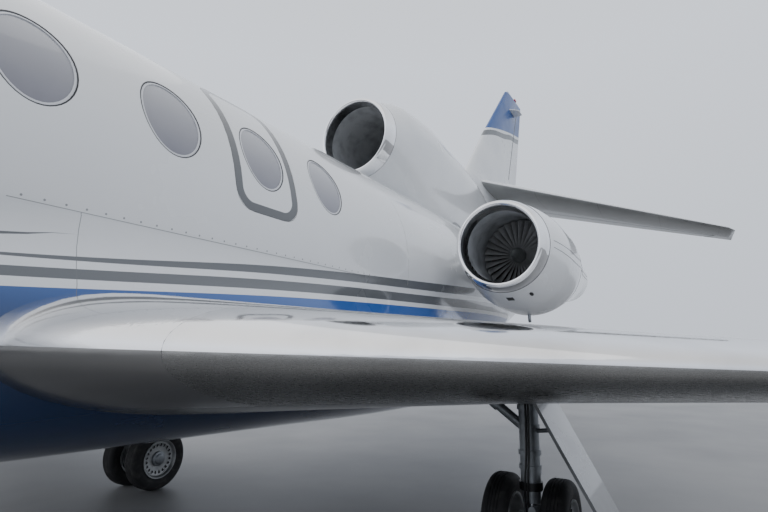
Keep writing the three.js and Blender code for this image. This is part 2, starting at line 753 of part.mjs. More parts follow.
// Columns: height, leading edge, trailing edge, thickness share.
const FIN_SECTIONS = [
  [2950, 13900, 16830, 0.115],
  [4200, 14160, 17150, 0.11],
  [4412, 14431, 17215, 0.11],
  [5289, 15259, 17500, 0.105],
  [6900, 16879, 18047, 0.1],
  [HEIGHT, 17080, 18060, 0.04],
];

const finPoint = (z, leading, aft, side) => at(leading + aft, side, z);

function finSolid(grow = 0) {
  return loft(FIN_SECTIONS.map(([z, leading, trailing, thickness]) => (
    aerofoilRing(leading, trailing, thickness, (aft, side) => finPoint(z, leading, aft, side), grow)
  )));
}

function finHinge(z, share) {
  const [, leading, trailing, thickness] = rowAt(FIN_SECTIONS, z);
  const chord = trailing - leading;
  return {
    centre: finPoint(z, leading, share * chord, 0),
    radius: halfThickness(share, thickness) * chord * HINGE_ROUND,
  };
}

const RUDDER = { from: finHinge(4780, 0.71), to: finHinge(6700, 0.7) };
const RUDDER_LIMIT = 29;

// Tailplane and elevators

// Columns: distance to the left, leading edge, trailing edge, height, thickness share.
const TAILPLANE_SECTIONS = [
  [0, 14600, 17090, 4235, 0.1],
  [3760, 17302, 18478, 3528, 0.09],
  [3870, 17520, LENGTH, 3508, 0.04],
];

const tailplanePoint = ([y, leading, , z], aft, up) => at(leading + aft, y, z + up);

function tailplaneSolid(grow = 0) {
  const half = TAILPLANE_SECTIONS.map((row) => {
    const [, leading, trailing, , thickness] = row;
    return aerofoilRing(leading, trailing, thickness, (aft, up) => tailplanePoint(row, aft, up), grow);
  });
  const other = half.slice(1).reverse().map((ring) => ring.map((point) => point.clone().setY(-point.y)));
  return loft([...other, ...half]);
}

function tailplaneHinge(y, share) {
  const row = rowAt(TAILPLANE_SECTIONS, y);
  const [, leading, trailing, , thickness] = row;
  const chord = trailing - leading;
  return {
    centre: tailplanePoint(row, share * chord, 0),
    radius: halfThickness(share, thickness) * chord * HINGE_ROUND,
  };
}

const ELEVATOR = { from: tailplaneHinge(640, 0.68), to: tailplaneHinge(3560, 0.66) };
const ELEVATOR_LIMIT = 20;

// Landing gear

// Bars of a leg, each between two ends given aft of the axle's middle, out from it and by height.
// Columns: first end, second end, radius.
function barsFrom(centre, bars) {
  const spot = ([aft, out, height]) => new THREE.Vector3(centre.x - aft, centre.y + out, height);
  return joined(bars.map(([from, to, radius]) => rod(spot(from), spot(to), radius)));
}

function axleBore(centre, radius) {
  const end = (y) => new THREE.Vector3(centre.x, y, centre.z);
  return rod(end(centre.y - FAR), end(centre.y + FAR), radius);
}

const AXLE_PLAY = 5; // between an axle and the eye that carries it
const bothWays = (rows) => [...rows.slice(1).reverse().map(([across, radius]) => [-across, radius]), ...rows];

// Main landing gear

const MAIN_AXLE_RADIUS = 42;
const MAIN_WHEEL_SIDES = 20;
const MAIN_LEG_BARS = [
  [[0, 0, 560], [0, 0, WELL_ROOF - FIT], 66], // cylinder
  [[0, 0, 518], [0, 0, 566], 76], // collar
  [[0, 0, MAIN_WHEEL_RADIUS], [0, 0, 540], 56], // piston
  [[0, -88, MAIN_WHEEL_RADIUS], [0, 88, MAIN_WHEEL_RADIUS], 76], // eye round the axle
  [[0, 0, 880], [0, -560, WELL_ROOF - 45], 34], // side stay
  [[0, -560, WELL_ROOF - 70], [0, -560, WELL_ROOF - FIT], 46], // its foot in the well
  [[0, 0, 620], [150, 0, 480], 22], // upper torque arm
  [[150, 0, 490], [10, 0, 340], 22], // lower torque arm
  [[0, 0, 880], [-60, 330, 930], 16], // link to the leg's door
];

// The inner face of the leg's door, seen from ahead. Columns: distance to the left, height.
const LEG_DOOR_INSIDE = [[2148, 1150], [2395, 690], [2520, 440]];
const LEG_DOOR_THICKNESS = 24;
const LEG_DOOR_REAR = 10120;
const LEG_DOOR_WIDTH = 490;

// Half of a pair of wheels on one axle, from the leg outward. Columns: distance across, radius.
const MAIN_WHEEL_ROWS = [
  [0, MAIN_AXLE_RADIUS], [118, MAIN_AXLE_RADIUS], [118, 178], [98, 225], [108, 284],
  [140, MAIN_WHEEL_RADIUS], [224, MAIN_WHEEL_RADIUS], [256, 284], [266, 225], [240, 178], [222, 70], [246, 0],
];

function legDoorPrism(outline) {
  return prism(outlineOf(outline), at(LEG_DOOR_REAR, 0, 0), LEFT, UP, LEG_DOOR_WIDTH);
}

function legDoor() {
  const outside = LEG_DOOR_INSIDE.map(([y, z]) => [y + LEG_DOOR_THICKNESS, z]).reverse();
  return legDoorPrism([...LEG_DOOR_INSIDE, ...outside]);
}

function mainLeg() {
  const face = LEG_DOOR_INSIDE.map(([y, z]) => [y - FIT, z]);
  const [top, bottom] = [face[0], face.at(-1)].map(([, z]) => z);
  const beyondDoor = legDoorPrism([...face, [FAR, bottom], [FAR, top]]);
  return without(barsFrom(MAIN_GEAR, MAIN_LEG_BARS), [
    axleBore(MAIN_GEAR, MAIN_AXLE_RADIUS + AXLE_PLAY),
    beyondDoor,
  ]);
}

// Nose landing gear

const NOSE_WHEEL_RADIUS = 185;
const NOSE_GEAR = at(2960, 0, NOSE_WHEEL_RADIUS);
const NOSE_AXLE_RADIUS = 24;
const NOSE_WHEEL_SIDES = 16;
const NOSE_PISTON_RADIUS = 40;
const NOSE_PISTON_TOP = 760;
const NOSE_PISTON_PLAY = 6;
const NOSE_BAY_ROOF = 1440;

const NOSE_LEG_BARS = [
  [[0, 0, 600], [0, 0, NOSE_BAY_ROOF - FIT], 62], // cylinder
  [[0, -140, 1200], [0, 140, 1200], 34], // trunnion
  [[0, 0, 820], [-560, 0, NOSE_BAY_ROOF - 40], 26], // drag stay
  [[-560, 0, NOSE_BAY_ROOF - 80], [-560, 0, NOSE_BAY_ROOF - FIT], 40], // its foot in the bay
];
const NOSE_FORK_BARS = [
  [[0, 0, NOSE_WHEEL_RADIUS], [0, 0, NOSE_PISTON_TOP], NOSE_PISTON_RADIUS], // piston
  [[0, 0, 560], [0, 0, 593], 66], // steering collar
  [[0, -46, NOSE_WHEEL_RADIUS], [0, 46, NOSE_WHEEL_RADIUS], 48], // eye round the axle
  [[0, 0, 575], [110, 0, 430], 14], // upper torque arm
  [[110, 0, 440], [10, 0, 230], 14], // lower torque arm
];
const NOSE_WHEEL_ROWS = [
  [0, NOSE_AXLE_RADIUS], [70, NOSE_AXLE_RADIUS], [70, 104], [54, 136], [62, 174], [84, NOSE_WHEEL_RADIUS],
  [164, NOSE_WHEEL_RADIUS], [186, 174], [194, 136], [176, 104], [160, 0],
];

// The doors hang down each side of the bay. Their section, seen from ahead, and where they start and end.
const NOSE_DOOR_SECTION = [[262, 1020], [300, 620], [312, 620], [274, 1020]];
const NOSE_DOOR_REAR = 3100;
const NOSE_DOOR_LENGTH = 620;

const noseBay = block([1760, -250, 800], [3160, 250, NOSE_BAY_ROOF]);

function noseLeg() {
  const bore = [[0, 0, 500], [0, 0, NOSE_PISTON_TOP + NOSE_PISTON_PLAY], NOSE_PISTON_RADIUS + AXLE_PLAY];
  return barsFrom(NOSE_GEAR, NOSE_LEG_BARS).subtract(barsFrom(NOSE_GEAR, [bore]));
}

function noseFork() {
  return barsFrom(NOSE_GEAR, NOSE_FORK_BARS).subtract(axleBore(NOSE_GEAR, NOSE_AXLE_RADIUS + AXLE_PLAY));
}

function noseDoor() {
  return prism(outlineOf(NOSE_DOOR_SECTION), at(NOSE_DOOR_REAR, 0, 0), LEFT, UP, NOSE_DOOR_LENGTH);
}

// Inside the cabin and cockpit

const CARPET = 12;
const SEAT_HALF_WIDTH = 230;
const SEAT_STANDS = 5; // above its floor, inside the carpet

// A seat's cushion and back. Columns: front, rear, bottom, top, from its station and its floor.
const SEAT_PARTS = [[60, 560, 0, 430], [470, 620, 400, 1010]];

// Seats in pairs on one carpet. The carpet's front, rear and half width come first.
const CABIN_SEATING = {
  carpet: [5300, 9700, 580],
  stations: [5500, 6300, 7300, 8100, 8900],
  out: 390,
  floor: FLOOR_TOP,
};
const COCKPIT_SEATING = {
  carpet: [2700, 3290, 560],
  stations: [2670],
  out: 380,
  floor: COCKPIT_FLOOR,
};

function seats({ carpet, stations, out, floor }) {
  const [front, rear, half] = carpet;
  const mat = block([front, -half, floor + FIT], [rear, half, floor + FIT + CARPET]);
  const left = stations.flatMap((station) => SEAT_PARTS.map(([from, to, bottom, top]) => block(
    [station + from, out - SEAT_HALF_WIDTH, floor + SEAT_STANDS + bottom],
    [station + to, out + SEAT_HALF_WIDTH, floor + SEAT_STANDS + top],
  )));
  return mat.add(withMirror(joined(left)));
}

// The panel, the pedestal and the coaming over the dials, as the corners of three boxes.
const PANEL_BOXES = [
  [[1760, -620, 2030], [2120, 620, 2330]],
  [[1900, -130, COCKPIT_FLOOR + FIT], [2350, 130, 2100]],
  [[2120, -560, 2310], [2180, 560, 2335]],
];
const PANEL_WALL = WALL + GLASS_BAND + 6;

function instrumentPanel() {
  const space = bodyPiece(COCKPIT_FRONT + FIT, COCKPIT_REAR, PANEL_WALL);
  return joined(PANEL_BOXES.map(([low, high]) => block(low, high))).intersect(space);
}

function cabinFloor() {
  const slab = block(
    [COCKPIT_REAR + CLEAR, -FAR, FLOOR_TOP - FLOOR_THICKNESS + FIT],
    [CABIN_REAR - FIT, FAR, FLOOR_TOP],
  );
  return slab.intersect(bodyPiece(COCKPIT_REAR, CABIN_REAR, WALL + FIT));
}

// Body panels

const FLOOR_BOTTOM = FLOOR_TOP - FLOOR_THICKNESS;

function frontFuselage() {
  return without(bodyPiece(NOSE_JOINT + FIT, FRONT_JOINT - FIT), [
    cabinSpace(COCKPIT_FRONT, COCKPIT_REAR + JOINT_STEP, COCKPIT_FLOOR),
    cabinSpace(COCKPIT_REAR, FRONT_JOINT, FLOOR_BOTTOM),
    bodyWedge(DOOR_FRONT - CLEAR, DOOR_REAR + CLEAR, DOOR_LOW - DOOR_GAP, DOOR_HIGH + DOOR_GAP),
    panePrisms(1),
    noseBay,
  ]).add(jackPad(NOSE_JACK));
}

function cabinFuselage() {
  return without(bodyPiece(FRONT_JOINT, REAR_JOINT - FIT), [
    cabinSpace(FRONT_JOINT - JOINT_STEP, CABIN_REAR, FLOOR_BOTTOM),
    withMirror(joined([windowHoles, exitHole])),
  ]);
}

function rearFuselage() {
  return without(bodyPiece(REAR_JOINT, TAIL_JOINT), [
    intakeDuct,
    tailTurned(TAIL_ENGINE_BORE),
    baggageRegion(CLEAR, 0),
    baggageHold(),
    tailSpaces(),
  ]);
}

// The aircraft

const tailplaneWhole = tailplaneSolid();
const tailplaneGrown = tailplaneSolid(FIT);
const finWhole = finSolid();
const wingWhole = without(wingSolid(), [bellySolid(FIT), bodyGrown]);

const wingFixed = without(wingWhole, [
  hingeCove(FLAP, FLAP_LIMIT),
  hingeCove(AILERON, AILERON_LIMIT),
  slatRegion(0),
  wheelWell,
]).add(jackPad(WING_JACK));

const bellyFairing = bellySolid().subtract(bodyGrown);

const intakeOutside = loft(INTAKE_SECTIONS.map(([s, width, z, depth]) => (
  ringRound(s, z, width, width, depth, INTAKE_SIDES)
)));
const intakeFairing = without(intakeOutside, [intakeDuct, bodyGrown, finSolid(FIT), tailplaneGrown]);

const elevatorCoves = withMirror(hingeCove(ELEVATOR, ELEVATOR_LIMIT));

const PAINT = { color: 0xf2f2f0, roughness: 0.25, metalness: 0 };
const BLUE = { color: 0x1c2340, roughness: 0.25, metalness: 0 };
const SILVER = { color: 0xd5d7da, roughness: 0.2, metalness: 0.9 };
const GREY = { color: 0x8d9196, roughness: 0.45, metalness: 0.4 };
const DARK = { color: 0x33363a, roughness: 0.5, metalness: 0.6 };
const RUBBER = { color: 0x191919, roughness: 0.8, metalness: 0 };
const GLASS = { color: 0x55576a, roughness: 0.05, metalness: 0.2 };
const TRIM = { color: 0xb9ab93, roughness: 0.8, metalness: 0 };

const finFixed = without(finWhole, [bodyGrown, tailplaneGrown, hingeCove(RUDDER, RUDDER_LIMIT)]);
const wheelsAt = (centre, rows, sides) => turnedAcross(bothWays(rows), centre, sides);
const centreNozzle = tailTurned(NOZZLE_ROWS);

// Pieces on the centre line. Columns: name, solid, finish.
const CENTRE_PIECES = [
  ["nose_cone", bodyPiece(0, NOSE_JOINT), PAINT],
  ["front_fuselage", frontFuselage(), PAINT],
  ["cabin_fuselage", cabinFuselage(), PAINT],
  ["rear_fuselage", rearFuselage(), PAINT],
  ["belly_fairing", bellyFairing, BLUE],
  ["windscreen", windscreen(), GLASS],
  ["cabin_floor", cabinFloor(), TRIM],
  ["instrument_panel", instrumentPanel(), DARK],
  ["cockpit_seats", seats(COCKPIT_SEATING), TRIM],
  ["cabin_seats", seats(CABIN_SEATING), TRIM],
  ["passenger_door", passengerDoor(), PAINT],
  ["baggage_door", baggageDoor(), PAINT],
  ["centre_intake_lip", turnedAft(INTAKE_LIP_ROWS, 0, INTAKE_Z, DUCT_SIDES), SILVER],
  ["centre_intake_fairing", intakeFairing, PAINT],
  ["centre_engine", tailTurned(TAIL_ENGINE_ROWS), DARK],
  ["centre_nozzle", centreNozzle, DARK],
  ["fin", finFixed, PAINT],
  ["rudder", hingedPiece(finWhole, RUDDER), PAINT],
  ["tailplane", tailplaneWhole.subtract(elevatorCoves), PAINT],
  ["nose_gear_leg", noseLeg(), GREY],
  ["nose_gear_fork", noseFork(), GREY],
  ["nose_wheels", wheelsAt(NOSE_GEAR, NOSE_WHEEL_ROWS, NOSE_WHEEL_SIDES), RUBBER],
];

// Pieces of the left side, each with a twin on the right. Columns: name, solid, finish.
const SIDE_PIECES = [
  ["wing", wingFixed, SILVER],
  ["slat", wingWhole.intersect(slatRegion(FIT)), SILVER],
  ["flap", hingedPiece(wingWhole, FLAP), SILVER],
  ["aileron", hingedPiece(wingWhole, AILERON), SILVER],
  ["elevator", hingedPiece(tailplaneWhole, ELEVATOR), PAINT],
  ["cabin_windows", cabinWindows(), GLASS],
  ["emergency_exit", emergencyExit(), PAINT],
  ["engine_lip", leftEngine(LIP_ROWS), SILVER],
  ["engine_cowling", cowling(), PAINT],
  ["engine_core", leftEngine(CORE_ROWS), DARK],
  ["engine_fan", fan(), DARK],
  ["engine_pylon", pylon(), PAINT],
  ["main_gear_leg", mainLeg(), GREY],
  ["main_gear_door", legDoor(), GREY],
  ["main_wheels", wheelsAt(MAIN_GEAR, MAIN_WHEEL_ROWS, MAIN_WHEEL_SIDES), RUBBER],
  ["nose_gear_door", noseDoor(), PAINT],
];

const aircraft = new THREE.Group();

function place(name, solid, finish) {
  const mesh = new THREE.Mesh(geometryOf(solid), new THREE.MeshStandardMaterial(finish));
  mesh.name = name;
  aircraft.add(mesh);
}

CENTRE_PIECES.forEach(([name, solid, finish]) => place(name, solid, finish));
SIDE_PIECES.forEach(([name, solid, finish]) => {
  place(`${name}_left`, solid, finish);
  place(`${name}_right`, mirrored(solid), finish);
});

export default aircraft;
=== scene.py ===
# Looks of a parked three-engined business jet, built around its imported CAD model.
#
# Lengths are in metres in the model's own frame: the nose points along +X, the left side is +Y and +Z is
# up. Stations, called s, are measured aft from the nose tip.

import math

import bpy
import numpy as np
from mathutils import Matrix
from mathutils.geometry import delaunay_2d_cdt


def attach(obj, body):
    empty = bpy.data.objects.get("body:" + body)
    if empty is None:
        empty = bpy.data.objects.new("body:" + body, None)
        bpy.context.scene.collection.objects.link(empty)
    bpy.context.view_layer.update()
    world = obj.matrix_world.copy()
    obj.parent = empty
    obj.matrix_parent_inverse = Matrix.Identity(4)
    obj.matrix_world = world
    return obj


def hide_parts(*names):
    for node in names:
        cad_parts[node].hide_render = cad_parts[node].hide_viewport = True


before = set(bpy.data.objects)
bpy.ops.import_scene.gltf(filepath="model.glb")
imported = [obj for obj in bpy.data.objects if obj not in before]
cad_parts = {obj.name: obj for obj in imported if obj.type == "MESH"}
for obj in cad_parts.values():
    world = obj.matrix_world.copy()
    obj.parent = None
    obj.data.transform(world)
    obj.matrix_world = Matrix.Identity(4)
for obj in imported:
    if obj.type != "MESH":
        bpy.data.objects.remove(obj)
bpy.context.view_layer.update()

# Sizes and places that the whole aircraft shares

LENGTH = 18.52
NOSE_X = LENGTH / 2
HALF_SPAN = 9.43
BODY_RADIUS = 1.04
BODY_AXIS = 2.08
WALL = 0.11
AFT = np.array([-1.0, 0.0, 0.0])
LEFT = np.array([0.0, 1.0, 0.0])
UP = np.array([0.0, 0.0, 1.0])
OTHER_SIDE = np.array([1, -1, 1])
SIDES = ("left", 1), ("right", -1)


def at(s, y, z):
    """Points from stations, distances to the left and heights."""
    s, y, z = np.broadcast_arrays(NOSE_X - np.asarray(s, float), y, z)
    return np.stack([s, y, z], axis=-1).astype(float)


def smooth_table(rows):
    """The columns of a table as smooth functions of its first column, without overshoot."""
    rows = np.array(rows, float)
    x, y = rows[:, 0], rows[:, 1:]
    step = np.diff(x)[:, None]
    slope = np.diff(y, axis=0) / step
    tangent = np.zeros_like(y)
    product = slope[:-1] * slope[1:]
    total = slope[:-1] + slope[1:]
    tangent[1:-1] = np.where(product > 0, 2 * product / np.where(total == 0, 1, total), 0)
    tangent[0], tangent[-1] = slope[0], slope[-1]

    def value(at_x):
        at_x = np.clip(np.asarray(at_x, float), x[0], x[-1])
        i = np.clip(np.searchsorted(x, at_x, side="right") - 1, 0, len(x) - 2)
        h = step[i, 0]
        t = ((at_x - x[i]) / h)[..., None]
        h = h[..., None]
        start = y[i] * (1 + 2 * t) * (1 - t) ** 2 + tangent[i] * h * t * (1 - t) ** 2
        end = y[i + 1] * t**2 * (3 - 2 * t) + tangent[i + 1] * h * t**2 * (t - 1)
        return np.moveaxis(start + end, -1, 0)

    return value


def straight_table(rows):
    """The columns of a table as straight lines between its rows."""
    rows = np.array(rows, float)

    def value(at_x):
        return np.array([np.interp(at_x, rows[:, 0], rows[:, k]) for k in range(1, rows.shape[1])])

    return value


# Meshes


class Shape:
    """Points and faces that are gathered before they become one piece, with normals for all or for none."""

    def __init__(self):
        self.points, self.normals, self.faces, self.slots, self.count = [], [], [], [], 0

    def add(self, points, faces, slot=0, normals=None):
        points = np.asarray(points, float).reshape(-1, 3)
        self.points.append(points)
        if normals is not None:
            self.normals.append(normals)
        self.faces += [tuple(int(i) + self.count for i in face) for face in faces]
        self.slots += [slot] * len(faces)
        self.count += len(points)
        return self

    def flip(self):
        """Moves the shape to the aircraft's other side."""
        self.points = [points * OTHER_SIDE for points in self.points]
        self.normals = [normals * OTHER_SIDE for normals in self.normals]
        self.faces = [face[::-1] for face in self.faces]

    def double(self):
        """Adds the same shape on the aircraft's other side."""
        points, normals = np.concatenate(self.points), np.concatenate(self.normals)
        slots = self.slots * 2
        self.add(points * OTHER_SIDE, [face[::-1] for face in self.faces], normals=normals * OTHER_SIDE)
        self.slots = slots

    def piece(self, name, materials, body="airframe", replaces=(), slot=None):
        """A mesh object that rides on a body. Its normals, one a point, make its shading exactly smooth."""
        mesh = bpy.data.meshes.new(name)
        mesh.from_pydata([tuple(p) for p in np.concatenate(self.points)], [], self.faces)
        for material in materials:
            mesh.materials.append(material)
        mesh.polygons.foreach_set("material_index", np.array(self.slots, np.int32))
        mesh.polygons.foreach_set("use_smooth", np.ones(len(mesh.polygons), bool))
        mesh.update()
        if self.normals:
            normals = [tuple(n) for n in np.concatenate(self.normals)]
            mesh.normals_split_custom_set_from_vertices(normals)
        else:
            mesh.set_sharp_from_angle(angle=math.radians(32))
        made = bpy.data.objects.new(name, mesh)
        bpy.context.scene.collection.objects.link(made)
        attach(made, body)
        if replaces:
            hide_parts(*replaces)
        return made


def grid_faces(rows, columns, closed=False):
    """Faces between neighbouring rings or rows of points."""
    faces = []
    for r in range(rows - 1):
        for c in range(columns if closed else columns - 1):
            d = (c + 1) % columns
            faces.append((r * columns + c, r * columns + d, (r + 1) * columns + d, (r + 1) * columns + c))
    return faces


def capped_faces(rings, sides):
    """Faces between neighbouring closed rings and over both ends."""
    ends = tuple(range(sides))[::-1], tuple(range((rings - 1) * sides, rings * sides))
    return [*grid_faces(rings, sides, closed=True), *ends]


def turned(rows, centre, axis, sides, ring_up=UP):
    """A surface of revolution from rows of distance along an axis and radius."""
    axis = np.array(axis, float)
    across = np.cross(ring_up, axis)
    across = across / np.linalg.norm(across)
    up = np.cross(axis, across)
    angles = np.linspace(0, 2 * math.pi, sides, endpoint=False)
    spokes = np.cos(angles)[:, None] * across + np.sin(angles)[:, None] * up
    points = [np.array(centre) + axis * along + spokes * radius for along, radius in rows]
    return np.concatenate(points), grid_faces(len(rows), sides, closed=True)


def rounded_rows(rows, steps=6):
    """Rows of a turned profile, rounded through a smooth curve between the corners that it repeats."""
    parts, part = [], [rows[0]]
    for row in rows[1:]:
        if row == part[-1]:
            parts.append(part)
            part = [row]
        else:
            part.append(row)
    parts.append(part)
    done = []
    for part in parts:
        lengths = [0.0]
        for a, b in zip(part, part[1:]):
            lengths.append(lengths[-1] + math.dist(a, b))
        curve = smooth_table([(d, *row) for d, row in zip(lengths, part)])
        places = np.linspace(0, lengths[-1], (len(part) - 1) * steps + 1)
        done += zip(*curve(places))
    return done


def bar(start, end, radius, sides, radius_end=None):
    """A round bar with closed ends."""
    start, end = np.array(start, float), np.array(end, float)
    axis = end - start
    length = np.linalg.norm(axis)
    axis = axis / length
    ring_up = UP if abs(axis[2]) < 0.9 else AFT
    last = radius if radius_end is None else radius_end
    rows = [(0, 0), (0, radius), (length, last), (length, 0)]
    return turned(rows, start, axis, sides, ring_up)


def tube_along(path, radius, sides=10):
    """A round tube along a list of points."""
    path = np.asarray(path, float)
    ahead = np.gradient(path, axis=0)
    ahead /= np.linalg.norm(ahead, axis=1)[:, None]
    side = np.cross(ahead, [0.31, 0.52, 0.79])
    side /= np.linalg.norm(side, axis=1)[:, None]
    over = np.cross(ahead, side)
    angles = np.linspace(0, 2 * math.pi, sides, endpoint=False)
    ring = np.cos(angles)[None, :, None] * side[:, None] + np.sin(angles)[None, :, None] * over[:, None]
    points = path[:, None] + ring * radius
    return points.reshape(-1, 3), capped_faces(len(path), sides)


def box_between(low, high):
    """A plain box, as points and faces, for small fittings."""
    (x0, y0, z0), (x1, y1, z1) = np.minimum(low, high), np.maximum(low, high)
    points = [(x, y, z) for x in (x0, x1) for y in (y0, y1) for z in (z0, z1)]
    faces = [(0, 1, 3, 2), (4, 6, 7, 5), (0, 4, 5, 1), (2, 3, 7, 6), (0, 2, 6, 4), (1, 5, 7, 3)]
    return points, faces


def open_box(low, high):
    """The inner walls and the roof of a box that is open below."""
    points, faces = box_between(low, high)
    return points, [face[::-1] for face in faces if face != (0, 2, 6, 4)]


def swung(points, first, second, angle):
    """Points turned by an angle from one of their axes toward another."""
    points = np.array(points, float)
    a, b = points[:, first].copy(), points[:, second].copy()
    points[:, first] = a * math.cos(angle) - b * math.sin(angle)
    points[:, second] = a * math.sin(angle) + b * math.cos(angle)
    return points


# Sheets cut from a surface that is a function of two values


def inside(points, loop):
    """Which points lie inside a closed loop."""
    x, y = points[:, 0], points[:, 1]
    result = np.zeros(len(points), bool)
    for (x0, y0), (x1, y1) in zip(loop, np.roll(loop, -1, axis=0)):
        if y0 != y1:
            crossing = (y0 > y) != (y1 > y)
            result ^= crossing & (x < (x1 - x0) * (y - y0) / (y1 - y0) + x0)
    return result


def resampled(loop, spacing):
    """A closed loop with points no further apart than the spacing, each way."""
    loop = np.asarray(loop, float)
    done = []
    for a, b in zip(loop, np.roll(loop, -1, axis=0)):
        steps = max(1, int(np.ceil(np.max(np.abs(b - a) / spacing) - 1e-9)))
        done += [a + (b - a) * k / steps for k in range(steps)]
    return np.array(done)


def triangulated(outline, holes, spacing):
    """Points and triangles that fill an outline, except its holes."""
    outline = resampled(outline, spacing)
    holes = [resampled(hole, spacing) for hole in holes]
    low, high = outline.min(0), outline.max(0)
    lines = [np.arange(low[k] + spacing[k] / 2, high[k], spacing[k]) for k in (0, 1)]
    grid = np.stack(np.meshgrid(*lines, indexing="ij"), axis=-1).reshape(-1, 2)
    loops = [outline, *holes]
    edge_points = np.concatenate(loops)
    nearest = np.full(len(grid), np.inf)
    for point in edge_points:
        nearest = np.minimum(nearest, np.sum(((grid - point) / spacing) ** 2, axis=1))
    keep = inside(grid, outline) & (nearest > 0.3)
    for hole in holes:
        keep &= ~inside(grid, hole)
    edges, start = [], 0
    for loop in loops:
        edges += [(start + i, start + (i + 1) % len(loop)) for i in range(len(loop))]
        start += len(loop)
    every = np.concatenate([edge_points, grid[keep]])
    points, _, faces, _, _, _ = delaunay_2d_cdt([tuple(p) for p in every], edges, [], 0, 1e-7)
    points, faces = np.array(points), np.array(faces)
    middle = points[faces].mean(axis=1)
    good = inside(middle, outline)
    for hole in holes:
        good &= ~inside(middle, hole)
    return points, faces[good]


def rim_edges(faces):
    """The directed edges that only one triangle has."""
    edges = {(f[i], f[(i + 1) % 3]) for f in faces for i in range(3)}
    return [(a, b) for a, b in edges if (b, a) not in edges]


def surface_normals(place, points):
    """Normals of a surface of two values, by small steps along both."""
    step = 1e-4
    u, v = points[:, 0], points[:, 1]
    along = place(u + step, v) - place(u - step, v)
    across = place(u, v + step) - place(u, v - step)
    normal = np.cross(along, across)
    return normal / np.maximum(np.linalg.norm(normal, axis=1)[:, None], 1e-12)


def sheet_piece(
    name, outline, holes, spacing, outer, inner, materials, body="airframe", mirror=False, **options
):
    """A wall between two surfaces of the same two values, with its rims closed.

    The outer surface takes the first material, the inner one the second and the rims the third.
    """
    flat, faces = triangulated(outline, holes, np.array(spacing))
    outside, normals = outer(flat[:, 0], flat[:, 1]), surface_normals(outer, flat)
    a, b, c = outside[faces[:, 0]], outside[faces[:, 1]], outside[faces[:, 2]]
    facing = np.einsum("ij,ij->i", np.cross(b - a, c - a), normals[faces[:, 0]])
    if facing.sum() < 0:
        faces = faces[:, ::-1]
    wanted = inner(flat[:, 0], flat[:, 1])
    if np.einsum("ij,ij->i", outside - wanted, normals).sum() < 0:
        normals, faces = -normals, faces[:, ::-1]
    inside_normals = surface_normals(inner, flat)
    if np.einsum("ij,ij->i", inside_normals, normals).sum() > 0:
        inside_normals = -inside_normals
    rims = rim_edges([tuple(f) for f in faces])
    starts = np.array([edge[0] for edge in rims])
    ends = np.array([edge[1] for edge in rims])
    walls = np.stack([outside[starts], wanted[starts], wanted[ends], outside[ends]], axis=1)
    wall_normals = np.cross(walls[:, 1] - walls[:, 0], walls[:, 3] - walls[:, 0])
    wall_normals /= np.maximum(np.linalg.norm(wall_normals, axis=1)[:, None], 1e-12)
    shape = Shape()
    shape.add(outside, faces, 0, normals)
    shape.add(wanted, faces[:, ::-1], 1, inside_normals)
    shape.add(walls, np.arange(4 * len(rims)).reshape(-1, 4), 2, np.repeat(wall_normals, 4, axis=0))
    if mirror:
        shape.flip()
    return shape.piece(name, materials, body, **options)


# Materials


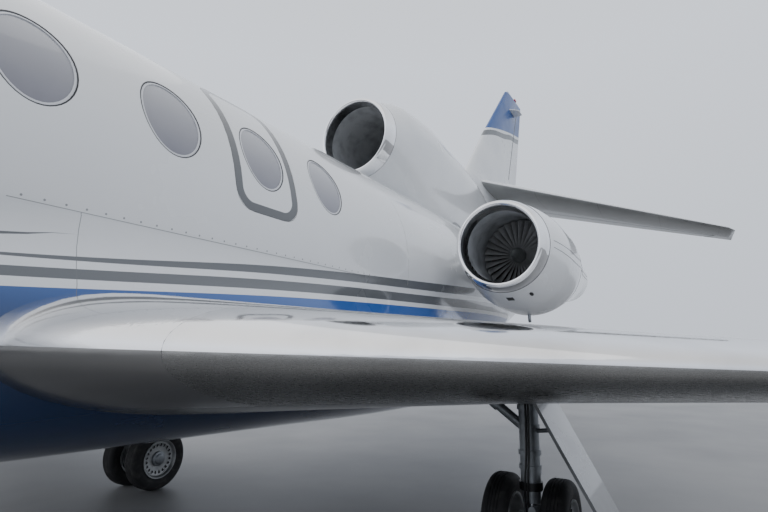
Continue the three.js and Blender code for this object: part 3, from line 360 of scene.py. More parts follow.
class Look:
    """A node material under construction, with short ways to add and join nodes."""

    def __init__(self, name, rough, colour=(0.8, 0.8, 0.8), metal=0.0, coat=0.0, **sockets):
        self.material = bpy.data.materials.new(name)
        self.material.use_nodes = True
        self.nodes = self.material.node_tree.nodes
        self.links = self.material.node_tree.links
        self.shader = self.nodes["Principled BSDF"]
        self.put(self.shader.inputs["Base Color"], colour)
        self.put(self.shader.inputs["Roughness"], rough)
        self.put(self.shader.inputs["Metallic"], metal)
        self.put(self.shader.inputs["Coat Weight"], coat)
        self.shader.inputs["Coat Roughness"].default_value = 0.04
        for socket, value in sockets.items():
            self.put(self.shader.inputs[socket.replace("_", " ").title()], value)

    def put(self, socket, value):
        if isinstance(value, bpy.types.NodeSocket):
            self.links.new(value, socket)
        elif isinstance(value, tuple) and len(value) == 3 and len(socket.default_value) == 4:
            socket.default_value = (*value, 1)
        else:
            socket.default_value = value

    def set(self, socket, value):
        self.put(self.shader.inputs[socket], value)

    def node(self, kind, settings=(), **inputs):
        made = self.nodes.new(kind)
        for key, value in dict(settings).items():
            setattr(made, key, value)
        for key, value in inputs.items():
            name = key.replace("_", " ")
            socket = next(i for i in made.inputs if i.name.lower() == name.lower() and i.enabled)
            self.put(socket, value)
        return made.outputs[0]

    def math(self, operation, *values):
        made = self.nodes.new("ShaderNodeMath")
        made.operation = operation
        for socket, value in zip(made.inputs, values):
            self.put(socket, value)
        return made.outputs[0]

    def plus(self, first, second):
        return self.math("ADD", first, second)

    def minus(self, first, second):
        return self.math("SUBTRACT", first, second)

    def times(self, first, second):
        return self.math("MULTIPLY", first, second)

    def larger(self, first, second):
        return self.math("MAXIMUM", first, second)

    def place(self):
        """The surface point in the aircraft's own frame, as three values."""
        if not hasattr(self, "_place"):
            coordinates = self.nodes.new("ShaderNodeTexCoord").outputs["Object"]
            split = self.nodes.new("ShaderNodeSeparateXYZ")
            self.links.new(coordinates, split.inputs[0])
            self._place = (coordinates, *split.outputs)
        return self._place

    def station(self):
        return self.minus(NOSE_X, self.place()[1])

    def noise(self, scale, detail, stretch=(1, 1, 1)):
        vector = self.node(
            "ShaderNodeMapping", settings={"vector_type": "POINT"}, Vector=self.place()[0], Scale=stretch
        )
        return self.node("ShaderNodeTexNoise", Vector=vector, Scale=scale, Detail=detail)

    def blend(self, share, first, second):
        made = self.nodes.new("ShaderNodeMix")
        made.data_type = "RGBA"
        self.put(made.inputs[0], share)
        self.put(made.inputs[6], first)
        self.put(made.inputs[7], second)
        return made.outputs[2]

    def between(self, value, low, high, start=0.0, end=1.0):
        """The value's place from low to high, as a share of start to end."""
        made = self.nodes.new("ShaderNodeMapRange")
        for socket, wanted in zip(made.inputs, (value, low, high, start, end)):
            self.put(socket, wanted)
        return made.outputs[0]

    def step(self, value, edge, soft=0.0006):
        """One where the value is above the edge, else nothing, with a thin soft border."""
        return self.between(self.minus(value, edge), -soft, soft)

    def band(self, value, low, high, soft=0.0006):
        return self.times(self.step(value, low, soft), self.step(high, value, soft))

    def curve(self, value, rows, reach, height):
        """A smooth curve through rows of place and value, with both limits given."""
        made = self.nodes.new("ShaderNodeFloatCurve")
        line = made.mapping.curves[0]
        for place, wanted in rows[1:-1]:
            line.points.new(place / reach, wanted / height)
        line.points[0].location = (rows[0][0] / reach, rows[0][1] / height)
        line.points[-1].location = (rows[-1][0] / reach, rows[-1][1] / height)
        made.mapping.update()
        self.put(made.inputs["Value"], self.math("DIVIDE", value, reach))
        return self.times(made.outputs[0], height)

    def lines(self, value, pitch, width):
        """Thin lines at an even pitch."""
        return self.step(width / 2, self.math("PINGPONG", value, pitch / 2), width / 6)

    def bump(self, height, strength, distance):
        made = self.node("ShaderNodeBump", Strength=strength, Distance=distance, Height=height)
        self.set("Normal", made)


def droplets(look, size=90.0, share=0.32):
    """Small drops that lie on a wet surface, as heights."""
    cells = look.node(
        "ShaderNodeTexVoronoi", settings={"feature": "F1"}, Vector=look.place()[0], Scale=size,
        Randomness=1.0,
    )
    drop = look.between(cells, share, 0.0)
    patches = look.between(look.noise(3.0, 2.0), 0.45, 0.65)
    return look.times(look.math("POWER", drop, 0.6), patches)


# The over-wing exit, whose outline is painted on the body
EXIT_STATION, EXIT_TILT, EXIT_CORNER = 8.662, 27.4, 0.13
EXIT_SIZE = np.array([0.49, 0.88])
EXIT_HALVES = EXIT_SIZE[0] / 2, BODY_RADIUS * math.asin(EXIT_SIZE[1] / 2 / BODY_RADIUS)
EXIT_BAND = 0.052

WHITE = (0.78, 0.79, 0.80)
DULL_WHITE = (0.72, 0.735, 0.75)
BELLY_BLUE = (0.006, 0.026, 0.085)
BAND_BLUE = (0.02, 0.1, 0.36)
STRIPE_GREY = (0.105, 0.112, 0.12)

# Edges of the painted bands on the body's side, inside a largest station and height.
# Columns: station, height.
BAND_REACH, BAND_HEIGHT = 20, 4
BLUE_TOP = [
    (0, 1.3), (1.2, 1.36), (4, 1.45), (7.4, 1.617), (8.86, 1.7), (10.8, 1.762), (13.2, 1.83), (20, 1.9),
]
THICK_LOW = [(0, 1.52), (5.2, 1.55), (7.4, 1.651), (8.86, 1.735), (10.8, 1.798), (13.2, 1.87), (20, 1.95)]
THICK_HIGH = [(0, 1.52), (5.2, 1.553), (7.4, 1.686), (8.86, 1.791), (10.8, 1.872), (13.2, 1.97), (20, 2.1)]
UPPER_LOW = [(0, 1.69), (6.9, 1.7), (7.4, 1.719), (8.86, 1.826), (10.8, 1.917), (13.2, 2.03), (20, 2.3)]
UPPER_HIGH = [(0, 1.69), (6.9, 1.7), (7.4, 1.729), (8.86, 1.873), (10.8, 1.989), (13.2, 2.13), (20, 2.5)]
FORE_LOW = [(0, 1.5), (3, 1.62), (5.5, 1.70), (7.41, 1.79), (7.66, 1.835), (20, 1.9)]
FORE_HIGH = [(0, 1.5), (3, 1.65), (5.5, 1.73), (7.41, 1.80), (7.66, 1.835), (20, 1.9)]


def exit_band(look):
    """The grey band painted inside the edge of each over-wing exit."""
    side, height = look.math("ABSOLUTE", look.place()[2]), look.place()[3]
    angle = look.math("ARCTAN2", look.minus(height, BODY_AXIS), side)
    climb = look.minus(look.times(angle, BODY_RADIUS), math.radians(EXIT_TILT) * BODY_RADIUS)
    along = look.minus(look.station(), EXIT_STATION)
    past = []
    for value, half in zip((along, climb), EXIT_HALVES):
        past.append(look.minus(look.math("ABSOLUTE", value), half - EXIT_CORNER))
    out = [look.larger(value, 0.0) for value in past]
    corner = look.math("SQRT", look.plus(look.math("POWER", out[0], 2.0), look.math("POWER", out[1], 2.0)))
    within = look.math("MINIMUM", look.larger(*past), 0.0)
    distance = look.minus(look.plus(corner, within), EXIT_CORNER)
    return look.band(distance, -EXIT_BAND, -0.001)


# The seam of the panels above the wing, its row of screws and the upright seam below it
SEAM = {"height": 1.92, "ends": (7.42, 10.9), "half_width": 0.0015, "upright": (7.668, 7.671), "foot": 1.6}
SCREWS = {"pitch": 0.075, "radius": 0.0045, "above": 0.014}


def side_panel(look):
    """A thin seam along the side with a row of screws above it and one seam down from it."""
    s, z = look.station(), look.place()[3]
    height, half_width = SEAM["height"], SEAM["half_width"]
    along = look.band(s, *SEAM["ends"])
    line = look.band(z, height - half_width, height + half_width)
    share = look.math("FRACT", look.math("DIVIDE", s, SCREWS["pitch"]))
    aside = look.times(look.minus(share, 0.5), SCREWS["pitch"])
    above = look.minus(z, height + SCREWS["above"])
    squares = [look.math("POWER", look.math("ABSOLUTE", value), 2.0) for value in (aside, above)]
    screws = look.step(SCREWS["radius"], look.math("SQRT", look.plus(*squares)))
    upright = look.times(look.band(s, *SEAM["upright"]), look.band(z, SEAM["foot"], height))
    marks = look.times(along, look.larger(line, screws))
    return look.larger(marks, upright)


def livery_colour(look):
    """White above, dark blue below, with blue and grey bands along the side."""
    s, z = look.station(), look.place()[3]
    grime = look.noise(1.4, 5.0, stretch=(0.3, 1, 1))
    white = look.blend(look.between(grime, 0.35, 0.75), WHITE, DULL_WHITE)
    lowest = look.blend(look.step(look.minus(1.56, z), 0.0, 0.12), BAND_BLUE, BELLY_BLUE)
    blue_top, *edges = [
        look.curve(s, rows, BAND_REACH, BAND_HEIGHT)
        for rows in (BLUE_TOP, THICK_LOW, THICK_HIGH, UPPER_LOW, UPPER_HIGH, FORE_LOW, FORE_HIGH)
    ]
    colour = look.blend(look.step(blue_top, z), white, lowest)
    for low, high in zip(edges[::2], edges[1::2]):
        colour = look.blend(look.band(z, low, high), colour, STRIPE_GREY)
    colour = look.blend(exit_band(look), colour, (0.075, 0.08, 0.086))
    return look.blend(look.times(side_panel(look), 0.75), colour, (0.12, 0.125, 0.13))


def paint(name, colour_of, rough=0.2, coat=0.7):
    """Clear-coated paint with a little unevenness, streaks and drops."""
    look = Look(name, rough=rough, coat=coat)
    look.set("Base Color", colour_of(look))
    look.set("Specular IOR Level", 0.2 + 0.45 * coat)
    waves = look.noise(2.2, 2.0)
    drops = droplets(look)
    streaks = look.noise(9.0, 4.0, stretch=(0.25, 1, 0.2))
    look.set("Roughness", look.between(streaks, 0.3, 0.75, rough - 0.06, rough + 0.12))
    height = look.plus(look.times(waves, 0.5), look.times(drops, 0.25))
    look.bump(height, 0.12, 0.004)
    return look.material


def plain_colour(first, second):
    return lambda look: look.blend(look.between(look.noise(2.0, 5.0), 0.35, 0.7), first, second)


def polished(name, tint=(0.86, 0.86, 0.87), rough=0.07):
    """Bare metal that is polished but not perfect."""
    look = Look(name, colour=tint, rough=rough, metal=1.0)
    brushed = look.noise(40.0, 3.0, stretch=(1, 1, 12))
    stains = look.noise(3.0, 6.0)
    look.set("Base Color", look.blend(look.between(stains, 0.45, 0.75), tint, tuple(c * 0.8 for c in tint)))
    look.set("Roughness", look.between(brushed, 0.2, 0.8, rough * 0.6, rough * 2.2))
    look.bump(look.noise(3.5, 2.0), 0.05, 0.004)
    return look.material


def worn_metal(name, colour, rough, metal, grain=60.0):
    look = Look(name, colour=colour, rough=rough, metal=metal)
    dirt = look.noise(7.0, 6.0)
    dark = tuple(c * 0.45 for c in colour)
    look.set("Base Color", look.blend(look.between(dirt, 0.45, 0.8), colour, dark))
    look.set("Roughness", look.between(look.noise(grain, 2.0), 0.2, 0.8, rough * 0.7, min(1.0, rough * 1.5)))
    look.bump(look.noise(grain, 3.0), 0.06, 0.001)
    return look.material


def rubber(name):
    look = Look(name, colour=(0.02, 0.02, 0.021), rough=0.75)
    dust = look.between(look.noise(14.0, 6.0), 0.5, 0.85)
    look.set("Base Color", look.blend(dust, (0.018, 0.018, 0.019), (0.07, 0.068, 0.064)))
    look.bump(look.noise(140.0, 3.0), 0.25, 0.0015)
    return look.material


def glass(name, colour, rough, through):
    look = Look(name, colour=colour, rough=rough, coat=0.3, transmission_weight=through)
    look.set("IOR", 1.5)
    haze = look.noise(5.0, 4.0)
    look.set("Roughness", look.between(haze, 0.3, 0.8, rough, rough + 0.07))
    look.bump(look.noise(2.0, 1.0), 0.02, 0.003)
    return look.material


def cabin_glass(name):
    """Tinted acrylic that turns from pale at its top to lilac grey below; the pale top is a painted
    reflection of the sky.
    """
    look = Look(name, rough=0.05, coat=0.6, transmission_weight=0.42)
    # Painted reflection: the colour runs from lilac grey below to pale at the top, standing in for the sky
    # reflected in the pane.
    height = look.between(look.place()[3], 2.3, 2.66)
    tint = look.blend(height, (0.27, 0.27, 0.33), (0.62, 0.63, 0.67))
    haze = look.between(look.noise(6.0, 3.0), 0.3, 0.75)
    look.set("Base Color", look.blend(look.times(haze, 0.25), tint, (0.5, 0.5, 0.54)))
    look.set("Roughness", look.between(haze, 0.0, 1.0, 0.04, 0.1))
    look.bump(look.noise(2.0, 1.0), 0.02, 0.003)
    return look.material


def cloth(name, colour, scale):
    look = Look(name, colour=colour, rough=0.9)
    weave = look.noise(scale, 2.0)
    look.set("Base Color", look.blend(weave, colour, tuple(c * 0.55 for c in colour)))
    look.bump(weave, 0.3, 0.002)
    return look.material


def leather(name, colour):
    look = Look(name, colour=colour, rough=0.42)
    grain = look.node(
        "ShaderNodeTexVoronoi", settings={"feature": "DISTANCE_TO_EDGE"}, Vector=look.place()[0], Scale=260.0
    )
    wear = look.between(look.noise(5.0, 4.0), 0.45, 0.75)
    look.set("Base Color", look.blend(wear, colour, tuple(c * 0.8 for c in colour)))
    look.bump(look.between(grain, 0.0, 0.25), 0.25, 0.0012)
    return look.material


# Bare from its front back to a swept line: where that meets the centre line, its slope and the outer end
BARE_NOSE = {"station": 7.378, "sweep": 0.4545, "outer": 1.5595}


def bare_nose(look, colour, rough, metal, bare=(0.84, 0.84, 0.85), bare_rough=0.09):
    """Makes the fixed nose of the wing between the body and the slat polished metal."""
    side = look.math("ABSOLUTE", look.place()[2])
    behind = look.minus(look.station(), look.times(side, BARE_NOSE["sweep"]))
    share = look.times(look.step(BARE_NOSE["station"], behind), look.step(BARE_NOSE["outer"], side))
    look.set("Base Color", look.blend(share, colour, bare))
    look.set("Metallic", look.between(share, 0.0, 1.0, metal, 1.0))
    shine = look.times(rough, look.minus(1.0, share))
    look.set("Roughness", look.plus(shine, look.times(share, bare_rough)))


# Polished metal seen from below: its colour darkened as painted shade, and rougher, dulled by spray
UNDER_SHADED_TINT, UNDER_ROUGH = (0.48, 0.475, 0.465), 0.2

# The wing skins' seams along the chord
SEAM_PITCH, SEAM_WIDTH = 0.905, 0.004


def wing_top(name):
    """The wet, pale upper skin of the wing, with its panel seams and rows of fasteners."""
    look = Look(name, rough=0.2, metal=0.25, coat=0.8)
    pale = look.blend(look.between(look.noise(1.5, 5.0), 0.35, 0.7), (0.74, 0.75, 0.77), (0.64, 0.65, 0.67))
    seams = look.lines(look.place()[2], SEAM_PITCH, SEAM_WIDTH)
    colour = look.blend(look.times(seams, 0.6), pale, (0.2, 0.2, 0.21))
    pools = look.between(look.noise(6.0, 6.0, stretch=(1, 0.5, 1)), 0.42, 0.62)
    bare_nose(look, colour, look.between(pools, 0.0, 1.0, 0.08, 0.3), 0.25)
    height = look.plus(look.times(droplets(look, 60.0, 0.4), 0.8), look.times(pools, 0.3))
    look.bump(height, 0.16, 0.004)
    return look.material


def wing_under(name, shade=(0.13, 0.135, 0.14)):
    look = Look(name, rough=0.35, coat=0.3)
    grey = look.blend(look.between(look.noise(1.2, 5.0), 0.35, 0.7), shade, tuple(c * 0.65 for c in shade))
    seams = look.lines(look.place()[2], SEAM_PITCH, SEAM_WIDTH)
    colour = look.blend(look.times(seams, 0.7), grey, (0.03, 0.03, 0.03))
    # The bare nose on the lower skin takes the darker polished tint, which is painted shade.
    bare_nose(look, colour, 0.35, 0.0, UNDER_SHADED_TINT, UNDER_ROUGH)
    look.bump(look.noise(3.0, 3.0), 0.08, 0.004)
    return look.material


# The fin's blue tip begins on a sloping line; the grey sweep runs below it
FIN_SWEEP = {"station": 15.311, "slope": 0.278, "blue": 5.469, "grey": (5.304, 5.414)}
FIN_BLUE = (0.012, 0.075, 0.28)


def fin_colour(look):
    """White with a blue tip above a pale and a grey sweep."""
    s, z = look.station(), look.place()[3]
    white = plain_colour(WHITE, DULL_WHITE)(look)
    level = look.minus(z, look.times(look.minus(s, FIN_SWEEP["station"]), FIN_SWEEP["slope"]))
    wave = look.times(look.math("SINE", look.times(s, 5.5)), 0.012)
    colour = look.blend(look.band(look.plus(level, wave), *FIN_SWEEP["grey"]), white, (0.15, 0.16, 0.17))
    return look.blend(look.step(level, FIN_SWEEP["blue"]), colour, FIN_BLUE)


LIVERY = paint("livery", livery_colour)
WHITE_PAINT = paint("white_gloss", plain_colour(WHITE, DULL_WHITE))
FIN_PAINT = paint("fin_gloss", fin_colour, rough=0.3, coat=0.1)
TAIL_UNDER = wing_under("tail_grey", (0.3, 0.305, 0.3))
WING_TOP = wing_top("wing_upper_skin")
WING_UNDER = wing_under("wing_lower_skin")
BARE = polished("polished_skin")
# The slats' lower skin is the same polished metal, made darker as painted shade.
BARE_UNDER_SHADED = polished("polished_underside_shaded", UNDER_SHADED_TINT, UNDER_ROUGH)
BRIGHT = polished("bright_lip", (0.9, 0.9, 0.91), 0.04)
DARK_LINER = worn_metal("intake_liner", (0.45, 0.465, 0.48), 0.5, 0.1, 220.0)
DUCT_GREY = worn_metal("duct_grey", (0.4, 0.41, 0.42), 0.45, 0.2)
FAN_METAL = worn_metal("fan_blades", (0.45, 0.45, 0.45), 0.35, 0.6)
SPINNER = worn_metal("spinner", (0.17, 0.18, 0.175), 0.5, 0.3)
HOT_METAL = worn_metal("hot_section", (0.17, 0.14, 0.12), 0.42, 0.95)
GEAR_METAL = worn_metal("gear_grey", (0.32, 0.34, 0.36), 0.38, 0.6)
CHROME = polished("piston_chrome", (0.8, 0.8, 0.81), 0.06)
HUB = worn_metal("wheel_hub", (0.42, 0.43, 0.43), 0.4, 0.7)
BLACK_PLASTIC = worn_metal("black_plastic", (0.015, 0.015, 0.016), 0.4, 0.0)
TYRE = rubber("tyre_black")
DOOR_PAINT = paint("gear_door_paint", plain_colour((0.4, 0.41, 0.42), (0.33, 0.34, 0.35)))
PRIMER = worn_metal("primer", (0.2, 0.205, 0.21), 0.6, 0.0)
LINING = cloth("cabin_lining", (0.62, 0.6, 0.56), 300.0)
CARPET = cloth("carpet", (0.2, 0.17, 0.14), 500.0)
SEAT_LEATHER = leather("seat_leather_tan", (0.5, 0.42, 0.32))
WINDOW_GLASS = cabin_glass("cabin_pane_painted_reflection")
COCKPIT_GLASS = glass("cockpit_pane", (0.3, 0.33, 0.36), 0.02, 0.6)
SEAT_TRIM = worn_metal("seat_trim", (0.3, 0.27, 0.23), 0.5, 0.1)
FLOOR_BOARD = worn_metal("floor_board", (0.3, 0.27, 0.24), 0.6, 0.1)
PANEL_GREY = worn_metal("panel_grey", (0.05, 0.053, 0.058), 0.6, 0.0, 180.0)
DOOR_INNER = worn_metal("door_lining", (0.5, 0.49, 0.47), 0.5, 0.1)
SCREEN = glass("panel_display", (0.015, 0.03, 0.05), 0.05, 0.0)
RED_LAMP = glass("red_lens", (0.55, 0.01, 0.01), 0.05, 0.2)
GREEN_LAMP = glass("green_lens", (0.01, 0.35, 0.08), 0.05, 0.2)
SEAL = worn_metal("window_seal", (0.04, 0.04, 0.045), 0.6, 0.0)
RING = paint("window_ring", plain_colour((0.66, 0.67, 0.7), (0.56, 0.57, 0.6)))

# Body

# Columns: station, half width, bottom, widest height, top.
BODY_ROWS = [
    (0, 0.002, 1.718, 1.72, 1.722),
    (0.004, 0.034, 1.684, 1.72, 1.752),
    (0.015, 0.065, 1.652, 1.719, 1.782),
    (0.03, 0.092, 1.62, 1.718, 1.807),
    (0.06, 0.13, 1.58, 1.716, 1.842),
    (0.25, 0.29, 1.425, 1.712, 1.975),
    (0.6, 0.475, 1.28, 1.722, 2.135),
    (1.1, 0.665, 1.16, 1.765, 2.31),
    (1.7, 0.835, 1.085, 1.835, 2.48),
    (2.2, 0.93, 1.056, 1.93, 2.8),
    (2.7, 0.992, 1.044, 2.01, 3.02),
    (3.3, 1.03, 1.04, 2.062, 3.105),
    (3.9, 1.04, 1.04, 2.08, 3.12),
    (10.4, 1.04, 1.04, 2.08, 3.12),
    (11.6, 1.012, 1.062, 2.095, 3.12),
    (12.8, 0.93, 1.18, 2.16, 3.115),
    (14.0, 0.79, 1.4, 2.27, 3.108),
    (15.2, 0.625, 1.7, 2.42, 3.095),
    (16.4, 0.455, 2.05, 2.59, 3.075),
    (17.4, 0.35, 2.35, 2.7, 3.05),
]
NOSE_JOINT, FRONT_JOINT, REAR_JOINT, TAIL_JOINT = 0.9, 4.9, 10.3, 17.3
HALF_TURN = math.pi * BODY_RADIUS
body_table = smooth_table(BODY_ROWS)


def body_surface(inset=0.0):
    """The body's skin from stations and distances round it, which start level on the left."""

    def place(s, across):
        half, bottom, middle, top = body_table(s)
        sine, cosine = np.sin(across / BODY_RADIUS), np.cos(across / BODY_RADIUS)
        reach = np.where(sine > 0, top - middle, middle - bottom)
        wide, high = np.maximum(half - inset, 0.002), np.maximum(reach - inset, 0.002)
        return at(s, wide * cosine, middle + high * sine)

    return place


def body_across(s, y, z):
    """How far round the body a point of its skin lies."""
    half, bottom, middle, top = body_table(s)
    reach = np.where(z > middle, top - middle, middle - bottom)
    return np.arctan2((z - middle) / reach, y / half) * BODY_RADIUS


def oval(width, height, count=44):
    angles = np.linspace(0, 2 * math.pi, count, endpoint=False)
    return np.stack([np.cos(angles) * width / 2, np.sin(angles) * height / 2], axis=-1)


def rounded_loop(corners, radius):
    """A closed outline with its corners rounded."""
    corners, places = np.array(corners, float), np.linspace(0, 1, 6)
    done = []
    for before, corner, after in zip(np.roll(corners, 1, axis=0), corners, np.roll(corners, -1, axis=0)):
        start = corner + (before - corner) * radius / np.linalg.norm(before - corner)
        end = corner + (after - corner) * radius / np.linalg.norm(after - corner)
        done += [start * (1 - t) ** 2 + corner * 2 * t * (1 - t) + end * t**2 for t in places]
    return np.array(done)


def box_loop(low, high, radius):
    return rounded_loop([low, (high[0], low[1]), high, (low[0], high[1])], radius)


def wall_loop(outline, station, tilt):
    """An outline held against the body's left side, facing up its side by an angle."""
    across = (math.radians(tilt) + np.arcsin(outline[:, 1] / BODY_RADIUS)) * BODY_RADIUS
    return np.stack([station + outline[:, 0], across], axis=-1)


def other_side(loop):
    return np.stack([loop[:, 0], HALF_TURN - loop[:, 1]], axis=-1)


def turned_on(loop):
    """The same loop, one full turn further round the body."""
    return loop + [0, 2 * HALF_TURN]


def grown(loop, by):
    """A loop pushed out of itself by a distance, or in where that is negative."""
    ahead = np.roll(loop, -1, axis=0) - np.roll(loop, 1, axis=0)
    ahead /= np.maximum(np.linalg.norm(ahead, axis=1)[:, None], 1e-9)
    out = np.stack([ahead[:, 1], -ahead[:, 0]], axis=-1)
    area = np.sum(loop[:, 0] * np.roll(loop[:, 1], -1) - loop[:, 1] * np.roll(loop[:, 0], -1))
    return loop + out * by * np.sign(area)


# Cabin windows and exits
WINDOW_COUNT, WINDOW_REARMOST, WINDOW_PITCH, WINDOW_TILT = 7, 9.26, 0.595, 22.6
WINDOW_SIZE = (0.324, 0.43)
exit_half = EXIT_SIZE / 2
EXIT_LOOP = wall_loop(box_loop(-exit_half, exit_half, EXIT_CORNER), EXIT_STATION, EXIT_TILT)
EXIT_REACH = 0.3  # windows nearer than this to the exit's middle are in it
window_stations = [WINDOW_REARMOST - i * WINDOW_PITCH for i in range(WINDOW_COUNT)]


def window_loop(station, margin):
    width, height = (size - 2 * margin for size in WINDOW_SIZE)
    return wall_loop(oval(width, height), station, WINDOW_TILT)


# The front pane's corners as seen from ahead (left, height), the others' from the side (s, height).
FRONT_PANE = [(0.045, 2.5), (0.54, 2.44), (0.59, 2.64), (0.045, 2.785)]
SIDE_PANES = [
    [(2.09, 2.34), (2.64, 2.345), (2.64, 2.69), (2.44, 2.66)],
    [(2.72, 2.35), (3.13, 2.4), (3.04, 2.62), (2.72, 2.7)],
]


def pane_from_ahead(corners, margin):
    y, z = grown(resampled(rounded_loop(corners, 0.05), 0.03), -margin).T
    low, high = np.full(len(y), NOSE_JOINT), np.full(len(y), 2.9)
    for _ in range(40):
        s = (low + high) / 2
        half, bottom, middle, top = body_table(s)
        reach = np.where(z > middle, top - middle, middle - bottom)
        within = (y / half) ** 2 + ((z - middle) / reach) ** 2 < 1
        low, high = np.where(within, low, s), np.where(within, s, high)
    return np.stack([s, body_across(s, y, z)], axis=-1)


def pane_from_side(corners, margin):
    s, z = grown(resampled(rounded_loop(corners, 0.06), 0.03), -margin).T
    _, _, middle, top = body_table(s)
    return np.stack([s, np.arcsin((z - middle) / (top - middle)) * BODY_RADIUS], axis=-1)


PANES = [(pane_from_ahead, FRONT_PANE), *((pane_from_side, corners) for corners in SIDE_PANES)]
DOOR_LOW, DOOR_HIGH = (math.radians(angle) * BODY_RADIUS for angle in (-48.6, 45.4))
DOOR_FRONT, DOOR_REAR = 3.48, 4.28
DOOR_LOOP = box_loop((DOOR_FRONT, DOOR_LOW), (DOOR_REAR, DOOR_HIGH), 0.09)
BAGGAGE_CORNERS = (12.72, 1.56), (13.48, 2.08)
NOSE_BAY = (1.76, 3.16, 0.25)  # front, rear, half width
DUCT_HOLE = (12.2, 13.9, 0.3)  # above the centre engine's duct: front, rear, half width


def baggage_loop(margin):
    (front, low), (rear, high) = BAGGAGE_CORNERS
    s, z = grown(resampled(box_loop((front, low), (rear, high), 0.07), 0.08), margin).T
    _, bottom, middle, _ = body_table(s)
    return np.stack([s, -np.arcsin((middle - z) / (middle - bottom)) * BODY_RADIUS], axis=-1)


def nose_bay_loop():
    front, rear, half_width = NOSE_BAY
    s, y = resampled(box_loop((front, -half_width), (rear, half_width), 0.03), 0.06).T
    half = body_table(s)[0]
    return np.stack([s, (1.5 * math.pi + np.arcsin(y / half)) * BODY_RADIUS], axis=-1)


def body_outline(front, rear, start):
    return [(front, start), (rear, start), (rear, start + 2 * HALF_TURN), (front, start + 2 * HALF_TURN)]


def nose_cone():
    stations, sides = NOSE_JOINT * np.linspace(0, 1, 34) ** 2, 96
    s, around = np.meshgrid(stations, np.arange(sides) * 2 * HALF_TURN / sides, indexing="ij")
    points = body_surface()(s.ravel(), around.ravel())
    faces = grid_faces(len(stations), sides, closed=True)
    shape = Shape().add(points, [face[::-1] for face in faces])
    shape.add(points[-sides:], [tuple(range(sides))])
    shape.piece("nose_cone_skin", [LIVERY], replaces=("nose_cone",), slot="white_paint")


def skins():
    panes = [pane_from(corners, 0) for pane_from, corners in PANES]
    front_holes = [other_side(loop) for loop in panes] + [turned_on(loop) for loop in panes]
    front_holes += [turned_on(grown(DOOR_LOOP, GAP)), nose_bay_loop()]
    options = {"materials": [LIVERY, LINING, LINING], "slot": "white_paint"}
    sheet_piece(
        "front_body_skin", body_outline(NOSE_JOINT + 0.001, FRONT_JOINT, HALF_TURN / 2), front_holes,
        (0.07, 0.09), body_surface(), body_surface(WALL), replaces=("front_fuselage",), **options,
    )
    windows = [window_loop(s, 0) for s in window_stations if abs(s - EXIT_STATION) > EXIT_REACH]
    holes = [EXIT_LOOP, *windows]
    holes += [other_side(loop) for loop in holes]
    sheet_piece(
        "cabin_body_skin", body_outline(FRONT_JOINT + 0.002, REAR_JOINT, -HALF_TURN / 2), holes,
        (0.12, 0.09), body_surface(), body_surface(WALL), replaces=("cabin_fuselage",), **options,
    )
    front, rear, half_width = DUCT_HOLE
    top = HALF_TURN / 2
    duct_hole = resampled(box_loop((front, top - half_width), (rear, top + half_width), 0.25), 0.1)
    sheet_piece(
        "rear_body_skin", body_outline(REAR_JOINT + 0.002, TAIL_JOINT, -HALF_TURN / 2),
        [baggage_loop(GAP), duct_hole], (0.12, 0.08), body_surface(), body_surface(0.06),
        replaces=("rear_fuselage",), **options,
    )


# Layers of a window, its pane first. Columns: name, margins of its outline and hole, depths of its outside
# and inside, materials.
WINDOW_LAYERS = [
    ("pane", 0.016, None, 0.007, 0.014, [WINDOW_GLASS, WINDOW_GLASS, SEAL]),
    ("seal", 0.0008, 0.006, 0.001, 0.014, [SEAL, SEAL, SEAL]),
    ("ring", 0.006, 0.016, 0.003, WALL, [RING, LINING, RING]),
]
COCKPIT_LAYERS = [
    ("pane", 0.016, None, 0.004, 0.018, [COCKPIT_GLASS, COCKPIT_GLASS, SEAL]),
    ("seal", 0.002, 0.022, 0.001, 0.03, [SEAL, SEAL, SEAL]),
]


def window_layers(kind, place, loop_at, layers, spacing, replaced, mirror):
    """The layers of one window. Its loops depend on a margin, and its pane says what it replaces."""
    for layer, margin, hole, outer, inner, materials in layers:
        sheet_piece(
            f"{kind}_{layer}_{place}", loop_at(margin), [loop_at(hole)] if hole else [],
            (spacing, spacing), body_surface(outer), body_surface(inner), materials, mirror=mirror,
            **(replaced if layer == "pane" else {}),
        )


def glazing():
    """Each window's ring, seal and pane, the exits, which hold windows too, and the cockpit's panes."""
    holes = [window_loop(s, 0) for s in window_stations if abs(s - EXIT_STATION) < EXIT_REACH]
    for side, sign in SIDES:
        mirror = sign < 0
        sheet_piece(
            f"exit_skin_{side}", grown(EXIT_LOOP, -0.003), holes, (0.08, 0.08), body_surface(0.0005),
            body_surface(WALL), [LIVERY, LINING, PRIMER], mirror=mirror,
            replaces=(f"emergency_exit_{side}",), slot="white_paint",
        )
        for i, s in enumerate(window_stations):
            replaced = {"replaces": (f"cabin_windows_{side}",), "slot": "cabin_glass"} if i == 0 else {}
            window_layers(
                "window", f"{side}_{i}", lambda margin: window_loop(s, margin), WINDOW_LAYERS, 0.05,
                replaced, mirror,
            )
        for i, (pane_from, corners) in enumerate(PANES):
            first = (i, side) == (0, "left")
            replaced = {"replaces": ("windscreen",), "slot": "cockpit_glass"} if first else {}
            window_layers(
                "cockpit", f"{side}_{i}", lambda margin: pane_from(corners, margin), COCKPIT_LAYERS, 0.06,
                replaced, mirror,
            )


# Fairing under the wing

